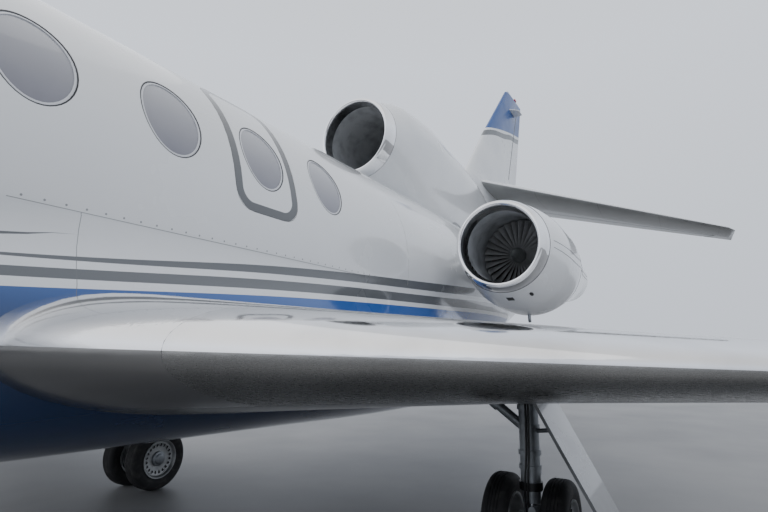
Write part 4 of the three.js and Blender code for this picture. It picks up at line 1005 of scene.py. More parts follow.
# Columns: station, half width, bottom, top of its sides.
BELLY_ROWS = [
    (5.55, 0.45, 1.25, 1.4),
    (5.9, 0.78, 1.075, 1.5),
    (6.5, 0.93, 1.005, 1.7),
    (7.3, 1.045, 0.955, 1.905),
    (8.3, 1.064, 0.912, 1.915),
    (9.3, 1.068, 0.872, 1.915),
    (10.6, 1.068, 0.818, 1.915),
    (11.6, 1.03, 0.8, 1.78),
    (12.2, 0.88, 0.915, 1.62),
    (12.64, 0.56, 1.19, 1.45),
]
BELLY_WIDEST, BELLY_SIDE, BELLY_POWER = 1.48, 0.435, 2 / 0.72

# The least height of its sides, the height over which they close onto the body, and how far they stand off
BELLY_RIM, BELLY_BLEND, BELLY_LAP = 0.06, 0.3, 0.003
belly_table = smooth_table(BELLY_ROWS)


def belly_surface(inset=0.0):
    """The fairing from stations and distances round it, which start at its lowest line."""

    def place(s, around):
        width, bottom, top = belly_table(s)
        widest = np.minimum(BELLY_WIDEST, top - BELLY_RIM)
        angle = np.clip(around, -math.pi / 2, math.pi / 2)
        sine, cosine = np.sin(angle), np.abs(np.cos(angle))
        reach = (np.abs(sine) ** BELLY_POWER + cosine**BELLY_POWER) ** (-1 / BELLY_POWER)
        up = np.maximum(np.abs(around) - math.pi / 2, 0) / BELLY_SIDE
        z = widest - (widest - bottom - inset) * reach * cosine + up * (top - widest)
        half, low, middle, _ = body_table(s)
        body_y = half * np.sqrt(np.maximum(1 - ((middle - z) / (middle - low)) ** 2, 0.0))
        below = np.clip((top - z) / BELLY_BLEND, 0, 1)
        excess = np.maximum(width - body_y - BELLY_LAP, 0) * (1 - below * below * (3 - 2 * below))
        side = width * reach * np.abs(sine) - np.where(up > 0, excess, 0) - inset
        return at(s, np.sign(around) * np.maximum(side, 0), z)

    return place


def belly_fairing():
    edge = math.pi / 2 + BELLY_SIDE
    front, rear = BELLY_ROWS[0][0], BELLY_ROWS[-1][0]
    outline = [(front, -edge), (rear, -edge), (rear, edge), (front, edge)]
    sheet_piece(
        "belly_fairing_skin", outline, [], (0.1, 0.07), belly_surface(), belly_surface(0.003),
        [LIVERY, PRIMER, PRIMER], replaces=("belly_fairing",), slot="fairing_paint",
    )


# Aerofoils


def half_thickness(share, thickness):
    """Half the thickness of a section at a share of its chord, as a share of the chord."""
    root = 0.2969 * np.sqrt(share)
    return 5 * thickness * (root + share * (-0.126 + share * (-0.3516 + share * (0.2843 - share * 0.1015))))


class Foil:
    """An aerofoil from sections along its span. Its surfaces are functions of span and turn.

    The turn goes from 0 at the leading edge to 1 at the trailing edge, and slows down toward both.
    """

    def __init__(self, rows, put, tip, tip_length):
        self.table, self.put, self.tip, self.tip_length = straight_table(rows), put, tip, tip_length

    def surface(self, side, sink=0.0):
        def place(span, turn):
            leading, trailing, thickness, *rest = self.table(span)
            share = (1 - np.cos(math.pi * turn)) / 2
            beyond = np.clip((span - (self.tip - self.tip_length)) / self.tip_length, 0, 0.9999)
            chord = trailing - leading
            half = half_thickness(share, thickness) * chord * np.sqrt(1 - beyond**2)
            return self.put(span, leading, share * chord, side * (half - sink), *rest)

        return place

    def turn_at(self, span, s):
        leading, trailing = self.table(span)[:2]
        share = np.clip((np.asarray(s) - leading) / (trailing - leading), 0, 1)
        return np.arccos(1 - 2 * share) / math.pi

    def station_at(self, span, turn):
        leading, trailing = self.table(span)[:2]
        return leading + (1 - np.cos(math.pi * np.clip(turn, 0, 1))) / 2 * (trailing - leading)


# Where the wing's nose swells toward the body: outer end, length, reach aft, swell and shift forward
ROOT_NOSE = {"outer": 2.1, "length": 1.1, "reach": 0.45, "swell": 0.2, "forward": 0.015}


def put_wing(y, leading, aft, up, nose, twist):
    """A point of the wing, whose nose is blunter and further forward where it runs into the body."""
    turn = np.radians(twist)
    inward = np.clip((ROOT_NOSE["outer"] - y) / ROOT_NOSE["length"], 0, 1) ** 1.5
    nearness = inward * np.exp(-((aft / ROOT_NOSE["reach"]) ** 2))
    up = up * np.where(up > 0, 1 + ROOT_NOSE["swell"] * nearness, 1)
    s = leading + aft * np.cos(turn) + up * np.sin(turn) - ROOT_NOSE["forward"] * nearness
    return at(s, y, nose - aft * np.sin(turn) + up * np.cos(turn))


# Columns: distance to the left, leading edge, trailing edge, thickness share, nose height, twist in degrees.
WING = Foil(
    [
        (0.5, 7.13, 11.09, 0.142, 1.436, 3.2),
        (1.05, 7.41, 11.135, 0.14, 1.43, 3),
        (2.3, 8.04, 11.235, 0.105, 1.396, 2.2),
        (3.6, 8.691, 11.34, 0.078, 1.356, 1.5),
        (9.28, 11.733, 12.727, 0.08, 1.552, -1),
        (HALF_SPAN, 11.98, 12.763, 0.08, 1.558, -1),
    ],
    put_wing, HALF_SPAN, 0.18,
)

FIN_FOOT, FIN_TOP, TAIL_TIP = 2.95, 6.98, 3.87

# Columns: height, leading edge, trailing edge, thickness share.
FIN = Foil(
    [
        (FIN_FOOT, 13.9, 16.83, 0.115),
        (4.2, 14.16, 17.15, 0.11),
        (4.412, 14.431, 17.215, 0.11),
        (5.289, 15.259, 17.5, 0.105),
        (6.9, 16.879, 18.047, 0.1),
        (FIN_TOP, 17.08, 18.06, 0.1),
    ],
    lambda z, leading, aft, side: at(leading + aft, side, z), FIN_TOP, 0.1,
)

# Columns: distance to the left, leading edge, trailing edge, thickness share, height.
TAILPLANE = Foil(
    [
        (0, 14.6, 17.09, 0.1, 4.235),
        (3.76, 17.302, 18.478, 0.09, 3.528),
        (TAIL_TIP, 17.52, 18.52, 0.09, 3.508),
    ],
    lambda y, leading, aft, up, z: at(leading + aft, y, z + up), TAIL_TIP, 0.13,
)

ENGINE_Y, ENGINE_Z = 1.633, 2.293

# Columns: distance to the left, leading edge, trailing edge, thickness share.
PYLON = Foil(
    [(0.6, 11.55, 13.75, 0.1), (1.5, 11.7, 13.5, 0.1)],
    lambda y, leading, aft, up: at(leading + aft, y, ENGINE_Z + up), 9.0, 0.1,
)

NOSE_SHARE, NOSE_ROOM = 0.96, 0.009  # a hinge nose's share of the thickness there, and its room
LINE_POINTS = 40  # of a cut, along its hinge


class Hinge:
    """A straight axis inside an aerofoil, between two places of span and station."""

    def __init__(self, foil, start, end, limit):
        self.foil = foil
        self.start, self.end = np.array(start), np.array(end)
        self.length = np.linalg.norm(self.end - self.start)
        self.along = (self.end - self.start) / self.length
        self.aft = np.array([-self.along[1], self.along[0]])
        ends = np.array([self.start, self.end])
        turns = foil.turn_at(ends[:, 0], ends[:, 1])
        over, under = foil.surface(1)(ends[:, 0], turns), foil.surface(-1)(ends[:, 0], turns)
        self.centres = (over + under) / 2
        self.radii = np.linalg.norm(over - under, axis=1) / 2 * NOSE_SHARE
        self.ahead = self.radii.max() * math.sin(math.radians(limit)) + NOSE_ROOM
        line = self.centres[1] - self.centres[0]
        line /= np.linalg.norm(line)
        forward = line * (AFT @ line) - AFT
        self.forward = forward / np.linalg.norm(forward)

    def place(self, flat):
        """How far along the axis and how far ahead of it points of span and turn lie."""
        plan = np.stack([flat[:, 0], self.foil.station_at(flat[:, 0], flat[:, 1])], axis=-1) - self.start
        return plan @ self.along, -(plan @ self.aft)

    def trailing(self, corner):
        """Points from a corner straight aft of the axis to the trailing edge."""
        far = 0.0
        for _ in range(30):
            span = corner[0] + far * self.aft[0]
            trailing = self.foil.table(span)[1]
            far = (trailing - corner[1]) / self.aft[1]
        spots = corner + np.linspace(0, far, 14)[:, None] * self.aft
        flat = np.stack([spots[:, 0], self.foil.turn_at(spots[:, 0], spots[:, 1])], axis=-1)
        flat[-1, 1] = 1.0
        return flat

    def loop(self, ahead=0.0, side=0.0, past=0.0):
        """The outline of all that lies aft of the axis, with room ahead of it and beside its ends."""
        corners = self.start - self.along * side, self.end + self.along * side
        corners = [corner - self.aft * ahead for corner in corners]
        share = np.linspace(0, 1, LINE_POINTS + 1)[1:-1, None]
        line = corners[0] * (1 - share) + corners[1] * share
        line = np.stack([line[:, 0], self.foil.turn_at(line[:, 0], line[:, 1])], axis=-1)
        first, last = self.trailing(corners[0]), self.trailing(corners[1])
        ends = [last[-1:] + [0, past], first[-1:] + [0, past]] if past else []
        return np.concatenate([first[:1], line, last, *ends, first[:0:-1]])

    def round_chain(self, flat, ahead, grow):
        """An arc round the axis from the upper to the lower skin, ahead of a point of the cut."""
        along, _ = self.place(flat[None])
        share = float(np.clip(along[0] / self.length, 0, 1))
        centre = self.centres[0] * (1 - share) + self.centres[1] * share
        radius = (self.radii[0] * (1 - share) + self.radii[1] * share) + grow
        over, under = (self.foil.surface(side)(*flat) for side in (1, -1))
        up = (over - under) / np.linalg.norm(over - under)
        first = math.asin(min(ahead / radius, 0.98))
        angles = np.linspace(first, math.pi - first, 11)
        spokes = np.sin(angles)[:, None] * self.forward + np.cos(angles)[:, None] * up
        return centre + spokes * radius, spokes


CUT_SLACK = 0.005  # how far from the hinge's line a point of the cut may lie
END_SLACK = 0.02  # how far past the hinge's ends it may lie
GAP, PAST = 0.007, 0.03  # clearance round moving pieces, and how far a cut runs past a trailing edge


def rounded_chain(hinge, moving):
    """The rule that closes the cut along a hinge: a round nose, or the hollow that it turns in."""

    def rule(flat):
        along, ahead = hinge.place(flat[None])
        wanted = 0.0 if moving else hinge.ahead
        if abs(ahead[0] - wanted) > CUT_SLACK or not -END_SLACK < along[0] < hinge.length + END_SLACK:
            return None
        return hinge.round_chain(flat, wanted, 0.0 if moving else GAP)

    return rule


def lens_skins(shape, foil, outline, holes, under_holes, spacing):
    """Adds both skins inside an outline of span and turn. Gives the upper one's points and its rim."""
    upper, lower = foil.surface(1), foil.surface(-1)
    rims = []
    for slot, (surface, other, cuts) in enumerate(
        ((upper, lower, holes), (lower, upper, (*holes, *under_holes)))
    ):
        flat, triangles = triangulated(outline, cuts, spacing)
        rims.append((flat, rim_edges([tuple(t) for t in triangles])))
        within = np.stack([flat[:, 0], np.clip(flat[:, 1], 0.004, 0.996)], axis=-1)
        normal = surface_normals(surface, within)
        outward = surface(*within.T) - other(*within.T)
        if np.einsum("ij,ij->i", normal, outward).sum() < 0:
            normal, triangles = -normal, triangles[:, ::-1]
        shape.add(surface(flat[:, 0], np.clip(flat[:, 1], 0, 1)), triangles, slot, normal)
    return rims[0]


def wall_chain(foil, spot, rules):
    """Points down a wall at a spot of the rim, and the normals between its ends where it is round."""
    over, under = foil.surface(1)(*spot), foil.surface(-1)(*spot)
    chain = next((made for made in (rule(spot) for rule in rules) if made is not None), None)
    middle, spokes = chain or (np.empty((0, 3)), None)
    return np.concatenate([[over], middle, [under]]), spokes


def lens_walls(shape, foil, flat, edges, rules, spacing):
    """Adds the walls between both skins' rims."""
    upper = foil.surface(1)
    chains = {i: wall_chain(foil, flat[i], rules) for i in {i for edge in edges for i in edge}}
    for a, b in edges:
        (first, first_spokes), (last, last_spokes) = chains[a], chains[b]
        if len(first) != len(last):
            first, last = first[[0, -1]], last[[0, -1]]
        if np.abs(first - first[0]).max() < 1e-5:
            continue
        step = flat[b] - flat[a]
        inward = np.array([-step[1] / spacing[1] * spacing[0], step[0] / spacing[0] * spacing[1]])
        spot = (flat[a] + flat[b]) / 2
        spot_in = spot + inward / max(np.linalg.norm(inward / spacing), 1e-9) * 0.05
        spot, spot_in = (np.clip(place, [-99, 0.001], [99, 0.999]) for place in (spot, spot_in))
        outward = upper(*spot) - upper(*spot_in)
        for k in range(len(first) - 1):
            quad = np.stack([first[k], last[k], last[k + 1], first[k + 1]])
            normal = np.cross(quad[1] - quad[0], quad[3] - quad[0])
            if np.linalg.norm(normal) < 1e-14:
                normal = np.cross(quad[2] - quad[1], quad[0] - quad[1])
            normal = normal / max(np.linalg.norm(normal), 1e-14)
            order = (0, 1, 2, 3)
            if normal @ outward < 0:
                normal, order = -normal, (3, 2, 1, 0)
            own = np.tile(normal, (4, 1))
            if len(first) > 2 and 0 < k < len(first) - 2:
                own = np.stack([first_spokes[k - 1], last_spokes[k - 1], last_spokes[k], first_spokes[k]])
                own = own * (1 if (own @ normal).sum() > 0 else -1)
            shape.add(quad, [order], 2, own)


def lens_piece(
    name, foil, outline, materials, body="airframe", holes=(), under_holes=(), spacing=(0.11, 0.03),
    rules=(), mirror=False, both=False, **options,
):
    """A closed piece of an aerofoil: both skins inside an outline of span and turn, and the cuts' walls.

    Materials are for the upper skin, the lower skin and the walls.
    """
    spacing = np.array(spacing)
    shape = Shape()
    flat, edges = lens_skins(shape, foil, outline, holes, under_holes, spacing)
    lens_walls(shape, foil, flat, edges, rules, spacing)
    if both:
        shape.double()
    if mirror:
        shape.flip()
    return shape.piece(name, materials, body, **options)


def whole(start, end):
    """The outline of a whole aerofoil between two places of its span."""
    return [(start, 0), (end, 0), (end, 1), (start, 1)]


def span_hinge(foil, start, end, limit, by_share=False):
    if by_share:
        places = []
        for span, share in (start, end):
            leading, trailing = foil.table(span)[:2]
            places.append((span, leading + share * (trailing - leading)))
        start, end = places
    return Hinge(foil, start, end, limit)


FLAP = span_hinge(WING, (1.24, 10.4), (6.4, 11.55), 48)
AILERON = span_hinge(WING, (6.5, 11.575), (9.06, 12.385), 25)
RUDDER = span_hinge(FIN, (4.78, 0.71), (6.7, 0.7), 29, by_share=True)
ELEVATOR = span_hinge(TAILPLANE, (0.64, 0.68), (3.56, 0.66), 20, by_share=True)
SLAT_TURN = math.acos(1 - 2 * 0.12) / math.pi
SLAT_INNER, SLAT_OUTER = 1.56, 9.2
WING_ROOT = 0.95
ELEVATOR_ENDS = 0.018, 0.014  # how far the hole reaches past the hinge's ends and the elevator stays inside
WELL = (9.95, 10.37, 1.25, 2.11, 1.35)  # front, rear, inner, outer, roof


def slat_loop(gap):
    inner, outer = SLAT_INNER + gap, SLAT_OUTER - gap
    ahead = 0.0 if gap > 0 else -0.03
    return [(inner, ahead), (outer, ahead), (outer, SLAT_TURN - gap), (inner, SLAT_TURN - gap)]


def well_loop():
    front, rear, inner, outer, _ = WELL
    corners = resampled([(inner, front), (outer, front), (outer, rear), (inner, rear)], 0.1)
    return np.stack([corners[:, 0], WING.turn_at(corners[:, 0], corners[:, 1])], axis=-1)


def wings():
    for side, sign in SIDES:
        mirror = sign < 0
        skins_of = {"materials": [WING_TOP, WING_UNDER, PRIMER], "mirror": mirror, "slot": "wing_skin"}
        fixed_holes = [
            slat_loop(0.0),
            FLAP.loop(FLAP.ahead, GAP, PAST),
            AILERON.loop(AILERON.ahead, GAP, PAST),
        ]
        lens_piece(
            f"wing_skin_{side}", WING, whole(WING_ROOT, HALF_SPAN),
            holes=fixed_holes, under_holes=[well_loop()], replaces=(f"wing_{side}",),
            rules=(rounded_chain(FLAP, False), rounded_chain(AILERON, False)), **skins_of,
        )
        lens_piece(
            f"slat_skin_{side}", WING, slat_loop(0.0015), [BARE, BARE_UNDER_SHADED, PRIMER],
            spacing=(0.11, 0.012), mirror=mirror, replaces=(f"slat_{side}",), slot="bare_metal",
        )
        lens_piece(
            f"flap_skin_{side}", WING, FLAP.loop(), body=f"flap_{side}", replaces=(f"flap_{side}",),
            rules=(rounded_chain(FLAP, True),), **skins_of,
        )
        lens_piece(
            f"aileron_skin_{side}", WING, AILERON.loop(), body=f"aileron_{side}",
            replaces=(f"aileron_{side}",), rules=(rounded_chain(AILERON, True),), **skins_of,
        )
        cuts = [FLAP.loop(ahead, -0.004)[:LINE_POINTS] for ahead in (FLAP.ahead - 0.001, 0.03)]
        strip = np.concatenate([cuts[0], cuts[1][::-1]])
        sheet_piece(
            f"flap_shroud_{side}", strip, [], (0.11, 0.02), WING.surface(1), WING.surface(1, 0.002),
            [WING_TOP, PRIMER, PRIMER], mirror=mirror,
        )
        front, rear, inner, outer, roof = WELL
        well = Shape().add(*open_box(at(front, inner, 1.12), at(rear, outer, roof)))
        if mirror:
            well.flip()
        well.piece(f"wheel_well_{side}", [PRIMER])


def tail():
    lens_piece(
        "fin_skin", FIN, whole(FIN_FOOT, FIN_TOP), [FIN_PAINT, FIN_PAINT, PRIMER],
        holes=[RUDDER.loop(RUDDER.ahead, GAP, PAST)], rules=(rounded_chain(RUDDER, False),),
        replaces=("fin",), slot="fin_paint",
    )
    lens_piece(
        "rudder_skin", FIN, RUDDER.loop(), [FIN_PAINT, FIN_PAINT, PRIMER], "rudder",
        rules=(rounded_chain(RUDDER, True),), replaces=("rudder",), slot="fin_paint",
    )
    lens_piece(
        "tailplane_skin", TAILPLANE, whole(0, TAIL_TIP), [WHITE_PAINT, TAIL_UNDER, PRIMER], both=True,
        holes=[ELEVATOR.loop(ELEVATOR.ahead, ELEVATOR_ENDS[0], PAST)],
        rules=(rounded_chain(ELEVATOR, False),),
        replaces=("tailplane",), slot="tail_paint",
    )
    for side, sign in SIDES:
        lens_piece(
            f"elevator_skin_{side}", TAILPLANE, ELEVATOR.loop(0.0, -ELEVATOR_ENDS[1]),
            [WHITE_PAINT, TAIL_UNDER, PRIMER],
            f"elevator_{side}", rules=(rounded_chain(ELEVATOR, True),), mirror=sign < 0,
            replaces=(f"elevator_{side}",), slot="tail_paint",
        )


# Side engines

# Columns: station, radius. A row given twice marks a sharp corner of the smooth profile.
LIP_ROWS = [
    (10.922, 0.404), (10.86, 0.396), (10.815, 0.383), (10.786, 0.368), (10.777, 0.352), (10.785, 0.338),
    (10.81, 0.328), (10.86, 0.32), (10.922, 0.318),
]
COWL_BORE_ROWS = [
    (13.6, 0.272), (12.8, 0.31), (12.15, 0.372), (11.74, 0.372), (11.59, 0.364), (11.37, 0.364), (11.1, 0.33),
    (10.93, 0.32),
]

# The cowling's outside, fullest below the engine. Columns: station, radius, drop of its middle.
COWL_ROWS = [
    (10.93, 0.4055, 0), (11.15, 0.45, 0.018), (11.4, 0.484, 0.046), (11.75, 0.49, 0.066),
    (12.2, 0.437, 0.046), (12.8, 0.356, 0.026), (13.2, 0.315, 0.01), (13.6, 0.284, 0),
]
cowl_table = smooth_table(COWL_ROWS)
HOT_FROM = 12.9  # station behind which the bore is hot metal
CORE_ROWS = [
    (11.65, 0.0), (11.65, 0.15), (11.65, 0.15), (11.75, 0.371), (11.75, 0.371), (12.15, 0.371),
    (12.15, 0.371), (12.45, 0.25), (12.45, 0.25), (12.45, 0.17), (12.45, 0.17), (12.95, 0.085), (13.3, 0.0),
]
SPINNER_ROWS = [
    (11.22, 0.0), (11.232, 0.015), (11.262, 0.031), (11.34, 0.056), (11.42, 0.068), (11.535, 0.072),
    (11.535, 0.072), (11.535, 0.0),
]
FAN_MIDDLE, BLADE_COUNT, BLADE_CHORD = 11.468, 30, 0.07
BLADE_RADII, BLADE_PITCHES = (0.065, 0.345), (-24, -58)  # at the root and at the tip
ENGINE_SIDES = 112  # of the rings round each engine

# The pylon's outline ends inside the cowling's wall. Columns: distance out, turn round the aerofoil's chord.
PYLON_OUTLINE = [(0.6, 0), (1.19, 0), (1.23, 0.369), (1.3, 0.577), (1.335, 0.738), (1.355, 1), (0.6, 1)]


def engine_turned(rows, y, z):
    return turned(rounded_rows(rows), at(0, y, z), AFT, ENGINE_SIDES)


def fan_blades(centre):
    """Thin twisted blades round a hub."""
    (root, tip), (pitch_root, pitch_tip) = BLADE_RADII, BLADE_PITCHES
    shape = Shape()
    for i in range(BLADE_COUNT):
        turn = 2 * math.pi * i / BLADE_COUNT
        radial = np.array([0, math.cos(turn), math.sin(turn)])
        around = np.array([0, -math.sin(turn), math.cos(turn)])
        sections = []
        for share in np.linspace(0, 1, 7):
            radius = root + (tip - root) * share
            pitch = math.radians(pitch_root + (pitch_tip - pitch_root) * share)
            along = AFT * math.cos(pitch) + around * math.sin(pitch)
            across = np.cross(along, radial)
            width = BLADE_CHORD * (0.8 + 0.35 * share) / 2
            bow = 0.008 * (1 - share)
            line = [(-1, 0), (-0.4, 0.0026), (0.4, 0.0026), (1, 0), (0.4, -0.0014), (-0.4, -0.0014)]
            middle = centre + radial * radius
            sections.append([middle + along * width * x + across * (y + bow * (1 - x * x)) for x, y in line])
        shape.add(sections, capped_faces(len(sections), len(line)))
    return shape


def engine_ring(s, angle, y, radius, drop=0.0):
    return at(s, y + radius * np.cos(angle), ENGINE_Z - drop + radius * np.sin(angle))


def cowl_point(s, angle, y, raised=0.0):
    """A place on a cowling's outside, at an angle round it from the left."""
    radius, drop = cowl_table(s)
    return engine_ring(s, angle, y, radius + raised, drop)


# Vents below a cowling. Columns: outline, station, angle round it, height.
VENTS = [
    (box_loop((-0.035, -0.03), (0.035, 0.03), 0.004), 11.076, -88.8, 0.0015),
    (oval(0.07, 0.03, 20), 11.092, -64.3, 0.004),
]
VENT_RADIUS = 0.43
DRAIN_STATION = 11.73
DRAIN_PATH = np.array([[0, 0, 0.02], [0, 0, -0.03], [-0.006, 0, -0.05], [-0.014, 0, -0.06]])
COWL_SEAM, SEAM_RADIUS = 0.0004, 0.0018  # how far the seams stand up, and how thick they are
LIP_JOINT, LIP_JOINT_RADIUS = (10.926, 0.4035), 0.0035  # the seam behind the lip: its place, and how thick

# Seams of the cowling's doors: the station and the angles of their arcs, and the ends and angles of their
# straight lines
ARC_STATION, ARC_ENDS = 12.02, ((-176, -4), (4, 176))
LINE_ENDS, LINE_ANGLES = (11.0, 13.5), (-4, 4, 176, 184)


def cowling(side, y):
    angles = np.linspace(0, 2 * math.pi, ENGINE_SIDES, endpoint=False)
    outside = [cowl_point(s, angles, y) for s in np.linspace(COWL_ROWS[0][0], COWL_ROWS[-1][0], 60)]
    bore_rows = rounded_rows(COWL_BORE_ROWS)
    bore = [engine_ring(s, angles, y, radius) for s, radius in bore_rows]
    rings = [*outside, *bore, outside[0]]
    faces = grid_faces(len(rings), ENGINE_SIDES, closed=True)
    shape = Shape().add(np.concatenate(rings), [face[::-1] for face in faces])
    hot_end = len(outside) + sum(s > HOT_FROM for s, radius in bore_rows)
    bands = [0 if k < len(outside) - 1 else (2 if k < hot_end else 1) for k in range(len(rings) - 1)]
    shape.slots = list(np.repeat(bands, ENGINE_SIDES))
    shape.piece(
        f"engine_cowling_skin_{side}", [WHITE_PAINT, DARK_LINER, HOT_METAL],
        replaces=(f"engine_cowling_{side}",), slot="white_paint",
    )
    vents = Shape()
    for loop, station, angle, lift in VENTS:
        around = math.radians(angle) + loop[:, 1] / VENT_RADIUS
        around = around if y > 0 else math.pi - around
        base, top = (cowl_point(station + loop[:, 0], around, y, raised) for raised in (-0.004, lift))
        count = len(loop)
        faces = [*grid_faces(2, count, closed=True), tuple(range(count, 2 * count))]
        vents.add(np.concatenate([base, top]), faces)
    vents.piece(f"engine_vents_{side}", [BLACK_PLASTIC])
    path = cowl_point(DRAIN_STATION, math.radians(-90), y) + DRAIN_PATH
    Shape().add(*tube_along(path, 0.015, 14)).piece(f"engine_drain_{side}", [GEAR_METAL])
    seams = Shape()
    station, radius = LIP_JOINT
    joint = [engine_ring(station, angle, y, radius) for angle in np.linspace(0, 2 * math.pi, 97)]
    seams.add(*tube_along(joint, LIP_JOINT_RADIUS, 6))
    for low, high in ARC_ENDS:
        angles = np.linspace(math.radians(low), math.radians(high), 60)
        seams.add(*tube_along(cowl_point(ARC_STATION, angles, y, COWL_SEAM), SEAM_RADIUS, 6))
    for angle in LINE_ANGLES:
        stations = np.linspace(*LINE_ENDS, 60)
        seams.add(*tube_along(cowl_point(stations, math.radians(angle), y, COWL_SEAM), SEAM_RADIUS, 6))
    seams.piece(f"engine_seams_{side}", [SEAL])


def engines():
    for side, sign in SIDES:
        y = sign * ENGINE_Y
        lip = Shape().add(*engine_turned(LIP_ROWS, y, ENGINE_Z))
        lip.piece(
            f"engine_lip_skin_{side}", [BRIGHT], replaces=(f"engine_lip_{side}",), slot="bare_metal"
        )
        cowling(side, y)
        core = Shape().add(*engine_turned(CORE_ROWS, y, ENGINE_Z))
        core.piece(
            f"engine_core_skin_{side}", [HOT_METAL], replaces=(f"engine_core_{side}",), slot="engine_metal"
        )
        fan = fan_blades(at(FAN_MIDDLE, y, ENGINE_Z))
        fan.add(*engine_turned(SPINNER_ROWS, y, ENGINE_Z), slot=1)
        fan.piece(
            f"engine_fan_blades_{side}", [FAN_METAL, SPINNER], f"fan_{side}",
            replaces=(f"engine_fan_{side}",), slot="fan_metal",
        )
        lens_piece(
            f"engine_pylon_skin_{side}", PYLON, PYLON_OUTLINE,
            [WHITE_PAINT, WHITE_PAINT, PRIMER], mirror=sign < 0, spacing=(0.1, 0.03),
            replaces=(f"engine_pylon_{side}",), slot="white_paint",
        )


# Centre engine's intake and nozzle

INTAKE_Z = 3.687
INTAKE_LIP_ROWS = [
    (11.15, 0.451), (11.09, 0.444), (11.04, 0.433), (11.01, 0.42), (11.0, 0.404), (11.009, 0.39),
    (11.035, 0.382), (11.09, 0.383), (11.15, 0.386),
]

# Columns: station, half width, height of its middle, depth below that.
INTAKE_ROWS = [
    (11.157, 0.452, 3.688, 0.452),
    (11.6, 0.49, 3.785, 0.76),
    (12.1, 0.492, 3.808, 0.98),
    (12.8, 0.456, 3.778, 1.0),
    (13.5, 0.402, 3.776, 1.05),
    (14.2, 0.32, 3.78, 1.1),
    (15.0, 0.19, 3.76, 1.1),
    (15.7, 0.09, 3.7, 1.0),
]

# Columns: station, height, radius.
DUCT_ROWS = [
    (11.157, INTAKE_Z, 0.386),
    (11.7, 3.655, 0.372),
    (12.3, 3.49, 0.352),
    (12.9, 3.2, 0.335),
    (13.5, 2.9, 0.33),
    (13.8, 2.79, 0.32),
]
TAIL_ENGINE_Z = 2.7
NOZZLE_ROWS = [
    (17.302, 0.348), (17.5, 0.322), (17.66, 0.3), (17.66, 0.3), (17.66, 0.286), (17.66, 0.286), (17.5, 0.291),
    (17.302, 0.3), (17.302, 0.3), (17.302, 0.348),
]
TAIL_ENGINE_ROWS = [
    (15.0, 0.0), (15.0, 0.28), (15.0, 0.28), (16.8, 0.28), (16.8, 0.28), (16.95, 0.19), (17.2, 0.12),
    (17.5, 0.0),
]


def centre_intake():
    lip = Shape().add(*engine_turned(INTAKE_LIP_ROWS, 0, INTAKE_Z))
    lip.piece("centre_lip_skin", [BRIGHT], replaces=("centre_intake_lip",), slot="bare_metal")
    table, duct_table = smooth_table(INTAKE_ROWS), smooth_table(DUCT_ROWS)
    angles = np.linspace(0, 2 * math.pi, ENGINE_SIDES, endpoint=False)
    sine, cosine = np.sin(angles), np.cos(angles)
    rings = []
    for s in np.linspace(INTAKE_ROWS[0][0], INTAKE_ROWS[-1][0], 60):
        half, middle, depth = table(s)
        rings.append(at(s, half * cosine, middle + np.where(sine > 0, half, depth) * sine))
    faces = grid_faces(len(rings), ENGINE_SIDES, closed=True)
    shape = Shape().add(np.concatenate(rings), [face[::-1] for face in faces])
    ducts = []
    for s in np.linspace(DUCT_ROWS[0][0], DUCT_ROWS[-1][0], 44):
        height, radius = duct_table(s)
        ducts.append(at(s, radius * cosine, height + radius * sine))
    faces = grid_faces(len(ducts), ENGINE_SIDES, closed=True)
    duct_end = tuple(range((len(ducts) - 1) * ENGINE_SIDES, len(ducts) * ENGINE_SIDES))
    shape.add(np.concatenate(ducts), [*faces, duct_end], slot=1)
    shape.add(np.concatenate([rings[0], ducts[0]]), grid_faces(2, ENGINE_SIDES, closed=True), slot=1)
    shape.piece(
        "centre_intake_skin", [WHITE_PAINT, DUCT_GREY],
        replaces=("centre_intake_fairing",), slot="white_paint",
    )
    nozzle = Shape().add(*engine_turned(NOZZLE_ROWS, 0, TAIL_ENGINE_Z))
    nozzle.piece("nozzle_skin", [HOT_METAL], replaces=("centre_nozzle",), slot="engine_metal")
    engine = Shape().add(*engine_turned(TAIL_ENGINE_ROWS, 0, TAIL_ENGINE_Z))
    engine.piece("centre_engine_casing", [HOT_METAL], replaces=("centre_engine",), slot="engine_metal")


# Main landing gear. The profiles' columns: distance across the wheel, radius.

MAIN_S, MAIN_Y, MAIN_RADIUS = 10.2, 1.99, 0.3
TYRE_ROWS = [
    (0.116, 0.176), (0.108, 0.2), (0.1, 0.235), (0.102, 0.262), (0.112, 0.282), (0.126, 0.2935),
    (0.14, 0.2985), (0.148, 0.2995), (0.148, 0.2995), (0.149, 0.294), (0.154, 0.294), (0.155, 0.2995),
    (0.155, 0.2995), (0.1675, 0.3), (0.1675, 0.3), (0.1685, 0.2945), (0.1735, 0.2945), (0.1745, 0.3),
    (0.1745, 0.3), (0.182, 0.3),
]


def mirrored_rows(rows, middle):
    return list(rows) + [(2 * middle - a, r) for a, r in reversed(rows[:-1])]


def wheel_disc(surface_rows, low, high, holes, depth, centre, facing):
    """A dished wheel disc with a ring of holes, as its outline, the holes' loops and its outer and inner
    surfaces. Facing is 1 or -1 across.
    """
    profile = smooth_table(surface_rows)

    def place(turn, radius):
        across = profile(radius)[0] * facing
        angle = turn / high
        return centre + np.stack([radius * np.cos(angle), across, radius * np.sin(angle)], axis=-1)

    def inner(turn, radius):
        return place(turn, radius) - np.array([0, facing * depth, 0])

    circle = 2 * math.pi * high
    count, radius, across, tall = holes
    hole = oval(across * high / radius, tall, 14)
    loops = [hole + [(i + 0.5) * circle / count, radius] for i in range(count)]
    outline = [(0, low), (circle, low), (circle, high), (0, high)]
    return outline, loops, place, inner


